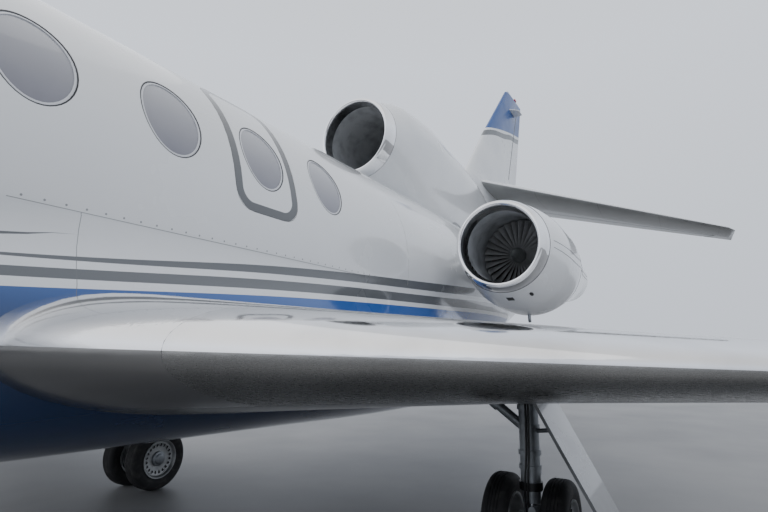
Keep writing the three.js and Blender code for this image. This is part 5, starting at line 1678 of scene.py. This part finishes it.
def wheel_pair(name, node, centre, middle, axle, tyre_rows, rims, hub_rows, disc):
    """Two wheels on one axle, made from the profiles of the wheel on the left."""
    shape = Shape()
    for facing in (1, -1):
        axis = LEFT * facing
        tyre = turned(rounded_rows(mirrored_rows(tyre_rows, middle), 5), centre, axis, 96)
        shape.add(*tyre)
        for rows in rims:
            shape.add(*turned(rounded_rows(rows, 4), centre, axis, 72), slot=1)
        shape.add(*turned(rounded_rows(hub_rows, 5), centre, axis, 48), slot=2)
    axle_rows = [(-middle, 0), (-middle, axle), (middle, axle), (middle, 0)]
    shape.add(*turned(axle_rows, centre, LEFT, 32), slot=2)
    shape.piece(name, [TYRE, HUB, GEAR_METAL], node, replaces=(node,), slot="tyre_rubber")
    rows, low, high, holes, depth = disc
    for facing, word in ((1, "out"), (-1, "in")):
        outline, loops, place, inner = wheel_disc(rows, low, high, holes, depth, centre, facing)
        sheet_piece(
            f"{name}_disc_{word}", outline, loops, (0.03, 0.03), place, inner,
            [HUB, HUB, BLACK_PLASTIC], node,
        )


RIMS = [
    [
        (0.246, 0.18), (0.252, 0.187), (0.262, 0.185), (0.262, 0.185), (0.258, 0.176), (0.244, 0.168),
        (0.232, 0.162),
    ],
    [
        (0.118, 0.18), (0.112, 0.187), (0.102, 0.185), (0.102, 0.185), (0.104, 0.176), (0.118, 0.166),
        (0.232, 0.16),
    ],
    [(0.225, 0.04), (0.2, 0.05), (0.2, 0.05), (0.2, 0.15), (0.2, 0.15), (0.12, 0.155)],
]
HUB_ROWS = [
    (0.222, 0.072), (0.24, 0.07), (0.243, 0.066), (0.243, 0.066), (0.246, 0.05), (0.246, 0.05),
    (0.252, 0.046), (0.258, 0.03), (0.26, 0.0),
]

# A wheel's disc: rows of radius and distance across, inner and outer radius, holes, thickness.
# The holes: count, radius of their ring, width and height.
DISC = [
    [(0.06, 0.222), (0.1, 0.222), (0.135, 0.226), (0.162, 0.234)], 0.066, 0.163, (20, 0.132, 0.024, 0.03),
    0.012,
]

# How far out a tyre's middle is, and the axle's radius
MAIN_WHEEL = {
    "middle": 0.182, "axle": 0.042, "tyre_rows": TYRE_ROWS, "rims": RIMS, "hub_rows": HUB_ROWS, "disc": DISC,
}

# Bars of a main leg and its side stay: the cylinder with its bands, the piston, the axle's eye, the stay.
# Columns: start and end, each aft, out and height, radius at the start and at the end, sides.
LEG_BARS = [
    ((0, 0, 0.566), (0, 0, 1.35), 0.064, 0.064, 40),
    ((0, 0, 0.645), (0, 0, 0.672), 0.072, 0.072, 40),
    ((0, 0, 0.735), (0, 0, 0.765), 0.073, 0.073, 40),
    ((0, 0, 0.9), (0, 0, 0.925), 0.07, 0.07, 40),
    ((0, 0, 1.02), (0, 0, 1.05), 0.073, 0.073, 40),
    ((0, 0, 1.16), (0, 0, 1.18), 0.07, 0.07, 40),
    ((0, 0, 0.3), (0, 0, 0.43), 0.056, 0.053, 32),
    ((0, 0, 0.44), (0, 0, 0.52), 0.058, 0.058, 32),
    ((0, -0.088, 0.3), (0, 0.088, 0.3), 0.074, 0.074, 40),
    ((-0.05, 0.012, 0.41), (-0.084, 0.02, 0.41), 0.022, 0.022, 24),
    ((0, 0, 0.88), (0, -0.56, 1.305), 0.032, 0.032, 24),
    ((0, -0.2, 1.032), (0, -0.26, 1.078), 0.04, 0.04, 24),
    ((0, -0.56, 1.28), (0, -0.56, 1.35), 0.044, 0.044, 24),
]

LEG_ARMS = {
    "out": 0.034, "narrow": 0.3, "knee": 0.152, "heights": (0.62, 0.485, 0.35), "radius": 0.016, "sides": 14,
}

# The pins of the torque arms and the bar to the door, then the polished piston and its black seal.
LEG_PINS = [
    ((0.152, -0.03, 0.485), (0.152, 0.03, 0.485), 0.019, 0.019, 16),
    ((0.045, -0.055, 0.62), (0.045, 0.055, 0.62), 0.02, 0.02, 16),
    ((0.045, -0.055, 0.35), (0.045, 0.055, 0.35), 0.02, 0.02, 16),
    ((0, 0, 0.88), (-0.06, 0.25, 0.918), 0.014, 0.014, 14),
]
LEG_PISTON = [((0, 0, 0.43), (0, 0, 0.45), 0.05, 0.05, 40)]
LEG_SEAL = [((0, 0, 0.518), (0, 0, 0.567), 0.075, 0.075, 40)]

# The two brake pipes ahead of a leg. Columns: aft, out, height.
PIPE_ROWS = [
    (-0.075, 0.02, 1.3), (-0.078, 0.02, 1.0), (-0.09, 0.02, 0.8), (-0.1, 0.01, 0.62), (-0.085, 0, 0.46),
    (-0.055, 0, 0.36),
]


def add_bars(shape, spot, rows, slot=0):
    for start, end, radius, last, sides in rows:
        shape.add(*bar(spot(*start), spot(*end), radius, sides, last), slot=slot)


def torque_arms(shape, spot, out, narrow, knee, heights, radius, sides):
    """Two arms from above and two from below that narrow toward a knee behind a leg."""
    upper, middle, lower = heights
    for x in (-out, out):
        bend = knee, x * narrow, middle
        rows = [((0.03, x, upper), bend), (bend, (0.03, x, lower))]
        add_bars(shape, spot, [(*ends, radius, radius, sides) for ends in rows])


def main_gear():
    for side, sign in SIDES:
        centre = at(MAIN_S, sign * MAIN_Y, MAIN_RADIUS)
        wheel_pair(f"main_wheel_pair_{side}", f"main_wheels_{side}", centre, **MAIN_WHEEL)

        def spot(aft, out, height):
            return at(MAIN_S + aft, sign * (MAIN_Y + out), height)

        leg = Shape()
        add_bars(leg, spot, LEG_BARS)
        torque_arms(leg, spot, **LEG_ARMS)
        add_bars(leg, spot, LEG_PINS)
        add_bars(leg, spot, LEG_PISTON, slot=1)
        add_bars(leg, spot, LEG_SEAL, slot=2)
        for shift in (0.0, 0.018):
            path = [spot(aft, out - shift, height) for aft, out, height in PIPE_ROWS]
            lengths = np.linspace(0, 1, len(path))
            curve = smooth_table([(d, *p) for d, p in zip(lengths, path)])
            leg.add(*tube_along(curve(np.linspace(0, 1, 30)).T, 0.0065), slot=2)
        leg.piece(
            f"main_leg_{side}", [GEAR_METAL, CHROME, BLACK_PLASTIC],
            replaces=(f"main_gear_leg_{side}",), slot="gear_metal",
        )
        leg_door(side, sign)


# The door outboard of a main leg. Columns: share of the way down, distance out, height.
LEG_DOOR_ROWS = [(0, 2.148, 1.15), (0.25, 2.262, 0.93), (0.5, 2.39, 0.69), (1, 2.52, 0.44)]
LEG_DOOR_OUTLINE = [(9.63, 0), (10.12, 0), (10.12, 1), (9.69, 1)]
LEG_DOOR_OUT, LEG_DOOR_THICKNESS = 0.024, 0.02


def leg_door(side, sign):
    profile = smooth_table(LEG_DOOR_ROWS)

    def place(s, share):
        y, z = profile(share)
        return at(s, sign * (y + LEG_DOOR_OUT), z)

    def inner(s, share):
        return place(s, share) - np.array([0, sign * LEG_DOOR_THICKNESS, 0])

    outline = rounded_loop(LEG_DOOR_OUTLINE, 0.05)
    sheet_piece(
        f"leg_door_skin_{side}", outline, [], (0.05, 0.05), place, inner, [DOOR_PAINT, PRIMER, PRIMER],
        replaces=(f"main_gear_door_{side}",), slot="door_paint",
    )


# Nose landing gear

NOSE_S, NOSE_RADIUS = 2.96, 0.185
NOSE_TYRE_ROWS = [
    (0.07, 0.104), (0.062, 0.12), (0.056, 0.142), (0.062, 0.165), (0.076, 0.178), (0.09, 0.1835),
    (0.1, 0.1845), (0.1, 0.1845), (0.101, 0.18), (0.105, 0.18), (0.106, 0.185), (0.106, 0.185),
    (0.124, 0.185),
]
NOSE_RIMS = [
    [(0.166, 0.106), (0.172, 0.11), (0.178, 0.108), (0.178, 0.108), (0.172, 0.1), (0.16, 0.094)],
    [(0.08, 0.106), (0.074, 0.11), (0.07, 0.108), (0.07, 0.108), (0.074, 0.1), (0.16, 0.092)],
]
NOSE_HUB_ROWS = [(0.15, 0.045), (0.166, 0.043), (0.166, 0.043), (0.17, 0.03), (0.176, 0.02), (0.178, 0.0)]
NOSE_DISC = [
    [(0.03, 0.148), (0.06, 0.148), (0.08, 0.152), (0.096, 0.162)], 0.04, 0.096, (10, 0.07, 0.018, 0.02),
    0.008,
]

NOSE_WHEEL = {
    "middle": 0.124, "axle": 0.024, "tyre_rows": NOSE_TYRE_ROWS, "rims": NOSE_RIMS,
    "hub_rows": NOSE_HUB_ROWS, "disc": NOSE_DISC,
}

# Bars of the fork and the leg, with the columns of LEG_BARS.
FORK_BARS = [
    ((0, 0, 0.185), (0, 0, 0.3), 0.046, 0.042, 32),
    ((0, -0.046, 0.185), (0, 0.046, 0.185), 0.047, 0.047, 32),
    ((0, 0, 0.56), (0, 0, 0.593), 0.066, 0.066, 32),
]
FORK_ARMS = {
    "out": 0.02, "narrow": 0.4, "knee": 0.112, "heights": (0.575, 0.435, 0.245), "radius": 0.01, "sides": 12,
}
FORK_PISTON = [
    ((0, 0, 0.3), (0, 0, 0.56), 0.038, 0.038, 32),
    ((0, 0, 0.593), (0, 0, 0.76), 0.036, 0.036, 32),
]
NOSE_LEG_BARS = [
    ((0, -0.14, 1.2), (0, 0.14, 1.2), 0.034, 0.034, 24),
    ((0, 0, 0.82), (-0.56, 0, 1.4), 0.026, 0.026, 24),
    ((0, -0.05, 0.82), (0, 0.05, 0.82), 0.03, 0.03, 24),
    ((-0.56, 0, 1.36), (-0.56, 0, 1.44), 0.04, 0.04, 24),
    ((-0.07, -0.045, 0.86), (-0.13, -0.045, 0.86), 0.04, 0.046, 24),
    ((-0.07, 0.045, 0.86), (-0.13, 0.045, 0.86), 0.04, 0.046, 24),
]

# The leg's tube round the fork's piston, outside and inside. Columns: height, radius.
NOSE_TUBE_ROWS = [
    (0.6, 0.047), (0.6, 0.062), (0.6, 0.062), (0.63, 0.064), (0.63, 0.064), (0.63, 0.06), (0.63, 0.06),
    (1.44, 0.06), (1.44, 0.06), (1.44, 0.0),
]
NOSE_BORE_ROWS = [(0.6, 0.047), (0.77, 0.047), (0.77, 0.0)]

# The nose bay's doors: their outline of station and share of the way down, bow and thickness
NOSE_DOOR_OUTLINE = [(2.48, 0), (3.1, 0), (3.1, 1), (2.48, 1)]
NOSE_DOOR_BOW, NOSE_DOOR_THICKNESS = 0.012, 0.012


def nose_gear():
    centre = at(NOSE_S, 0, NOSE_RADIUS)
    wheel_pair("nose_wheel_pair", "nose_wheels", centre, **NOSE_WHEEL)

    def spot(aft, out, height):
        return at(NOSE_S + aft, out, height)

    fork = Shape()
    add_bars(fork, spot, FORK_BARS)
    torque_arms(fork, spot, **FORK_ARMS)
    add_bars(fork, spot, FORK_PISTON, slot=1)
    fork.piece(
        "nose_fork_bars", [GEAR_METAL, CHROME], "nose_steering", replaces=("nose_gear_fork",),
        slot="gear_metal",
    )
    leg = Shape()
    for rows in (rounded_rows(NOSE_TUBE_ROWS, 2), NOSE_BORE_ROWS):
        leg.add(*turned(rows, at(NOSE_S, 0, 0), UP, 36, AFT))
    add_bars(leg, spot, NOSE_LEG_BARS)
    leg.piece("nose_leg_bars", [GEAR_METAL], replaces=("nose_gear_leg",), slot="gear_metal")
    front, rear, half = NOSE_BAY
    bay = Shape().add(*open_box(at(front, -half, 1.1), at(rear, half, 1.44)))
    bay.piece("nose_bay_lining", [PRIMER])
    for side, sign in SIDES:
        def place(s, share):
            bow = NOSE_DOOR_BOW * 4 * share * (1 - share)
            return at(s, sign * (0.274 + 0.038 * share + bow), 1.02 - 0.4 * share)

        def inner(s, share):
            return place(s, share) - np.array([0, sign * NOSE_DOOR_THICKNESS, 0])

        outline = rounded_loop(NOSE_DOOR_OUTLINE, 0.04)
        sheet_piece(
            f"nose_door_skin_{side}", outline, [], (0.05, 0.1), place, inner, [LIVERY, PRIMER, PRIMER],
            replaces=(f"nose_gear_door_{side}",), slot="door_paint",
        )


# Doors of the body


def doors():
    sheet_piece(
        "passenger_door_skin", DOOR_LOOP, [], (0.04, 0.04), body_surface(-0.0015), body_surface(0.06),
        [LIVERY, LINING, PRIMER], "passenger_door", slot="door_paint",
    )
    sheet_piece(
        "baggage_door_skin", baggage_loop(0.0), [], (0.08, 0.08), body_surface(0.0005), body_surface(0.056),
        [LIVERY, LINING, PRIMER], "baggage_door", replaces=("baggage_door",), slot="door_paint",
    )


def cushion(centre, size, crown, channels=(), turn=0.0):
    """A crowned closed pad whose sides pull in between its corners. Channels run across its length."""
    count = 13
    line = np.linspace(-1, 1, count)
    flat = np.stack(np.meshgrid(line, line, indexing="ij"), axis=-1).reshape(-1, 2)
    shape = Shape()
    for axis, sign in ((0, -1), (0, 1), (1, -1), (1, 1), (2, -1), (2, 1)):
        cube = np.insert(flat, axis, sign, axis=1)
        faces = grid_faces(count, count)
        if (sign > 0) == (axis == 1):
            faces = [face[::-1] for face in faces]
        unit = cube / (np.abs(cube) ** 5).sum(axis=1)[:, None] ** 0.2
        x, y, z = unit.T
        swell = 1 + crown * (1 - x**2) * (1 - y**2)
        pull = [1 - 0.04 * (1 - y**2), 1 - 0.04 * (1 - x**2)]
        groove = sum(0.09 * np.exp(-(((x - place) / 0.05) ** 2)) for place in channels)
        points = np.stack([x * pull[0], y * pull[1], z * (swell - groove)], axis=-1) * np.array(size) / 2
        shape.add(swung(points, 2, 0, math.radians(turn)) + centre, faces)
    return shape


# Seats. Each pad: name, place aft, across and up from the seat's station and floor, size, channels, tilt.
SEAT_PADS = [
    ("seat", (0.3, 0, 0.385), (0.5, 0.42, 0.13), (-0.33, 0.33), 0),
    ("back", (0.55, 0, 0.69), (0.56, 0.42, 0.12), (-0.3, 0.3), -80),
    ("head", (0.58, 0, 0.935), (0.15, 0.27, 0.1), (), -80),
    ("arm_left", (0.27, 0.215, 0.545), (0.4, 0.05, 0.05), (), 0),
    ("arm_right", (0.27, -0.215, 0.545), (0.4, 0.05, 0.05), (), 0),
]

# Boxes of a seat's stand: its foot and its tray. Columns: two corners, each aft, across and up.
SEAT_FOOT = (0.1, -0.15, 0.005), (0.5, 0.15, 0.05)
SEAT_TRAY = (0.08, -0.19, 0.29), (0.54, 0.19, 0.32)


def seat(name, node, station, y, floor_height):
    """A padded seat on its stand, with a post below each arm."""

    def spot(aft, out, up):
        return at(station + aft, y + out, floor_height + up)

    for part, place, size, channels, turn in SEAT_PADS:
        pad = cushion(spot(*place), size, 0.12, channels, turn)
        piece = pad.piece(f"{name}_{part}", [SEAT_LEATHER], replaces=(node,), slot="seat_leather")
    stand = Shape()
    stand.add(*box_between(*(spot(*corner) for corner in SEAT_FOOT)))
    stand.add(*bar(spot(0.3, 0, 0.05), spot(0.3, 0, 0.3), 0.09, 28, 0.12))
    stand.add(*box_between(*(spot(*corner) for corner in SEAT_TRAY)))
    for side in (-1, 1):
        post = side * 0.215
        stand.add(*box_between(spot(0.12, post - 0.014, 0.3), spot(0.42, post + 0.014, 0.52)))
    stand.piece(f"{name}_frame", [SEAT_TRIM], replaces=(node,), slot="seat_leather")


def carpet(name, node, front, rear, half, height):
    s, y = np.meshgrid(np.linspace(front, rear, 60), np.linspace(-half, half, 16), indexing="ij")
    top = at(s.ravel(), y.ravel(), np.full(s.size, height + 0.012))
    faces = grid_faces(60, 16)
    if np.cross(top[16] - top[0], top[1] - top[0])[2] < 0:
        faces = [face[::-1] for face in faces]
    shape = Shape().add(top, faces)
    shape.add(*box_between(at(front, -half, height + 0.001), at(rear, half, height + 0.011)))
    shape.piece(name, [CARPET], replaces=(node,), slot="seat_leather")


CABIN_FLOOR, COCKPIT_FLOOR = 1.4, 1.5
SEAT_STATIONS = (5.5, 6.3, 7.3, 8.1, 8.9)
PANEL_FACE = 2.121
SCREEN_PLACES, LEVER_PLACES = (-0.44, -0.22, 0.0, 0.22, 0.44), (-0.05, 0.0, 0.05)  # across the panel


def cabin():
    """The cabin's and cockpit's carpets and seats, the panel and the plain materials of what is left."""
    carpet("cabin_carpet", "cabin_seats", 5.3, 9.7, 0.58, CABIN_FLOOR)
    carpet("cockpit_carpet", "cockpit_seats", 2.7, 3.29, 0.56, COCKPIT_FLOOR)
    for side, sign in SIDES:
        for i, station in enumerate(SEAT_STATIONS):
            seat(f"cabin_seat_{side}_{i}", "cabin_seats", station, sign * 0.39, CABIN_FLOOR)
        seat(f"pilot_seat_{side}", "cockpit_seats", 2.67, sign * 0.38, COCKPIT_FLOOR)
    screens, frames = Shape(), Shape()
    for y in SCREEN_PLACES:
        frames.add(*box_between(at(PANEL_FACE, y - 0.1, 2.07), at(PANEL_FACE + 0.007, y + 0.1, 2.27)))
        screen = at(PANEL_FACE + 0.007, y - 0.088, 2.085), at(PANEL_FACE + 0.01, y + 0.088, 2.255)
        screens.add(*box_between(*screen))
    frames.piece("panel_bezels", [BLACK_PLASTIC])
    screens.piece("panel_screens", [SCREEN])
    levers = Shape()
    for y in LEVER_PLACES:
        levers.add(*bar(at(2.22, y, 2.1), at(2.18, y, 2.19), 0.006, 10))
        levers.add(*bar(at(2.18, y - 0.014, 2.19), at(2.18, y + 0.014, 2.19), 0.014, 16))
    levers.piece("thrust_levers", [BLACK_PLASTIC])
    plain = {"cabin_floor": FLOOR_BOARD, "instrument_panel": PANEL_GREY, "passenger_door": DOOR_INNER}
    for node, material in plain.items():
        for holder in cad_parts[node].material_slots:
            holder.material = material


# The stair door's hinge, seen along it, how far it opens, and its steps' count, run and slope
DOOR_HINGE, DOOR_SWING = np.array([0, 0.694, 1.294]), math.radians(132)
STEP_COUNT, STAIR_LENGTH, STAIR_SLOPE = 5, 1.38, math.radians(44)
TREAD_ENDS = 3.62, 4.14


def stair_treads():
    """Rubber strips on the door's steps, set out with the door lowered and then swung shut."""
    depth = STAIR_LENGTH * math.cos(STAIR_SLOPE) / STEP_COUNT
    rise = STAIR_LENGTH * math.sin(STAIR_SLOPE) / STEP_COUNT
    shape = Shape()
    for step in range(STEP_COUNT):
        front = DOOR_HINGE[1] + 0.09 + step * depth
        top = DOOR_HINGE[2] - 0.04 - step * rise
        corners = at(TREAD_ENDS, (front + 0.02, front + depth - 0.02), (top, top + 0.003))
        points, faces = box_between(*corners)
        shape.add(swung(np.array(points) - DOOR_HINGE, 1, 2, DOOR_SWING) + DOOR_HINGE, faces)
    shape.piece("stair_treads", [BLACK_PLASTIC], "passenger_door")


# Aerial blades on the body's top. Columns: station, height of the foot, length, height.
AERIALS = (6.4, 3.115, 0.2, 0.2), (9.9, 3.09, 0.16, 0.14)
AERIAL_HALF_WIDTH = 0.008

# The plates on both sides of the fin: outline of station and distance from the fin, foot's and top's heights
FIN_PLATE, FIN_PLATE_HEIGHTS = [(16.83, 0), (17.3, 0), (17.27, 0.21), (17.0, 0.21)], (6.443, 6.457)

WICK_PLACES = 6.9, 7.6, 8.3, 9.0, 9.35  # distances along the wing
LAMP_PLACE, LAMP_SIZE = (12.1, 9.4, 1.56), (0.12, 0.06, 0.035)
BEACON_PLACE, BEACON_SIZE = (17.6, 0, 6.99), (0.11, 0.06, 0.05)

# The probe on the left side of the nose: its foot's station and angle, and its bend from there
PROBE_FOOT = 1.25, -4
PROBE_PATH = np.array([[0, 0, 0], [0.01, 0.05, -0.01], [0.04, 0.075, -0.015], [0.16, 0.078, -0.015]])


def fittings():
    """Aerials, static wicks, lamps and probes."""
    blades = Shape()
    for s, z, length, height in AERIALS:
        rows = [(0, 0), (length, 0), (length * 0.95, height), (length * 0.45, height)]
        loop = rounded_loop(rows, 0.015)
        half = AERIAL_HALF_WIDTH
        rings = [at(s + loop[:, 0], y, z + loop[:, 1]) for y in (-half, half)]
        blades.add(np.concatenate(rings), capped_faces(2, len(loop)))
    blades.piece("aerial_blades", [WHITE_PAINT])
    rods = Shape()
    for y in WICK_PLACES:
        for side in (-1, 1):
            start = WING.surface(1)(y, 1.0) * [1, side, 1] + [0.015, 0, 0]
            rods.add(*tube_along([start, start - [0.06, 0, 0], start - [0.12, 0, 0]], 0.0028, 8))
    rods.piece("static_wicks", [BLACK_PLASTIC])
    for (side, sign), tint in zip(SIDES, (RED_LAMP, GREEN_LAMP)):
        lamp = cushion(at(*LAMP_PLACE) * [1, sign, 1], LAMP_SIZE, 0.0)
        lamp.piece(f"tip_lamp_{side}", [tint])
        probe = Shape()
        station, angle = PROBE_FOOT
        foot = body_surface()(station, math.radians(angle) * BODY_RADIUS)
        probe.add(*tube_along((foot + PROBE_PATH) * [1, sign, 1], 0.009, 14))
        probe.piece(f"pitot_probe_{side}", [CHROME])
    beacon = cushion(at(*BEACON_PLACE), BEACON_SIZE, 0.0)
    beacon.piece("fin_beacon", [RED_LAMP])
    ears = Shape()
    plate = rounded_loop(FIN_PLATE, 0.03)
    for sign in (-1, 1):
        rings = [at(plate[:, 0], sign * (plate[:, 1] + 0.03), z) for z in FIN_PLATE_HEIGHTS]
        ears.add(np.concatenate(rings[::-sign]), capped_faces(2, len(plate)))
    ears.piece("fin_aerials", [WHITE_PAINT])


# Floor, light and camera

CAMERA_PLACE = (2.627, 2.943, 1.434)
CAMERA_LENS, CAMERA_FRAME = 24, 36  # in millimetres
CAMERA_TURN, CAMERA_PITCH, CAMERA_ROLL = (math.radians(angle) for angle in (30.234, 9.955, 0.329))


# The sky's greys. Columns: height above the horizon, 1 straight up, and brightness.
SKY = (0.0, 0.93), (0.2, 1.0), (0.5, 1.15), (1.0, 1.4)
SKY_TINT = 0.91, 0.97, 1.08
SUN_SPREAD, SUN_TURNS = 120, (38, 10, 35)  # in degrees


def floor():
    mesh = bpy.data.meshes.new("studio_floor")
    side, steps = 60, 24
    line = np.linspace(-side, side, steps + 1)
    x, y = np.meshgrid(line, line, indexing="ij")
    points = np.stack([x.ravel(), y.ravel(), np.zeros(x.size)], axis=-1)
    mesh.from_pydata([tuple(p) for p in points], [], grid_faces(steps + 1, steps + 1))
    mesh.flip_normals()
    look = Look("studio_floor", rough=0.55)
    patches = look.noise(0.7, 6.0)
    share = look.between(patches, 0.35, 0.7)
    look.set("Base Color", look.blend(share, (0.25, 0.25, 0.253), (0.19, 0.193, 0.197)))
    look.bump(look.noise(40.0, 4.0), 0.06, 0.004)
    mesh.materials.append(look.material)
    made = bpy.data.objects.new("studio_floor", mesh)
    bpy.context.scene.collection.objects.link(made)


def light():
    world = bpy.data.worlds.new("studio")
    bpy.context.scene.world = world
    world.use_nodes = True
    nodes, links = world.node_tree.nodes, world.node_tree.links
    background = nodes["Background"]
    coordinates = nodes.new("ShaderNodeTexCoord")
    split = nodes.new("ShaderNodeSeparateXYZ")
    ramp = nodes.new("ShaderNodeValToRGB")
    links.new(coordinates.outputs["Generated"], split.inputs[0])
    links.new(split.outputs["Z"], ramp.inputs[0])
    links.new(ramp.outputs[0], background.inputs["Color"])
    for position, grey in SKY:
        stop = ramp.color_ramp.elements.new(position)
        stop.color = (*(grey * tint for tint in SKY_TINT), 1)
    ramp.color_ramp.elements.remove(ramp.color_ramp.elements[0])
    ramp.color_ramp.elements.remove(ramp.color_ramp.elements[-1])
    sun = bpy.data.lights.new("soft_sun", "SUN")
    sun.energy = 1.0
    sun.angle = math.radians(SUN_SPREAD)
    holder = bpy.data.objects.new("soft_sun", sun)
    holder.rotation_euler = [math.radians(turn) for turn in SUN_TURNS]
    bpy.context.scene.collection.objects.link(holder)


def camera():
    turn, pitch, roll = CAMERA_TURN, CAMERA_PITCH, CAMERA_ROLL
    level = np.array([-math.cos(turn), -math.sin(turn), 0])
    right = np.array([-math.sin(turn), math.cos(turn), 0])
    ahead = math.cos(pitch) * level + math.sin(pitch) * UP
    over = -math.sin(pitch) * level + math.cos(pitch) * UP
    across = math.cos(roll) * right + math.sin(roll) * over
    above = -math.sin(roll) * right + math.cos(roll) * over
    eye = bpy.data.cameras.new("camera")
    eye.lens = CAMERA_LENS
    eye.sensor_width = CAMERA_FRAME
    holder = bpy.data.objects.new("camera", eye)
    holder.matrix_world = Matrix([
        (across[0], above[0], -ahead[0], CAMERA_PLACE[0]),
        (across[1], above[1], -ahead[1], CAMERA_PLACE[1]),
        (across[2], above[2], -ahead[2], CAMERA_PLACE[2]),
        (0, 0, 0, 1),
    ])
    bpy.context.scene.collection.objects.link(holder)
    bpy.context.scene.camera = holder


nose_cone()
skins()
glazing()
belly_fairing()
wings()
tail()
engines()
centre_intake()
main_gear()
nose_gear()
doors()
cabin()
stair_treads()
fittings()
floor()
light()
camera()
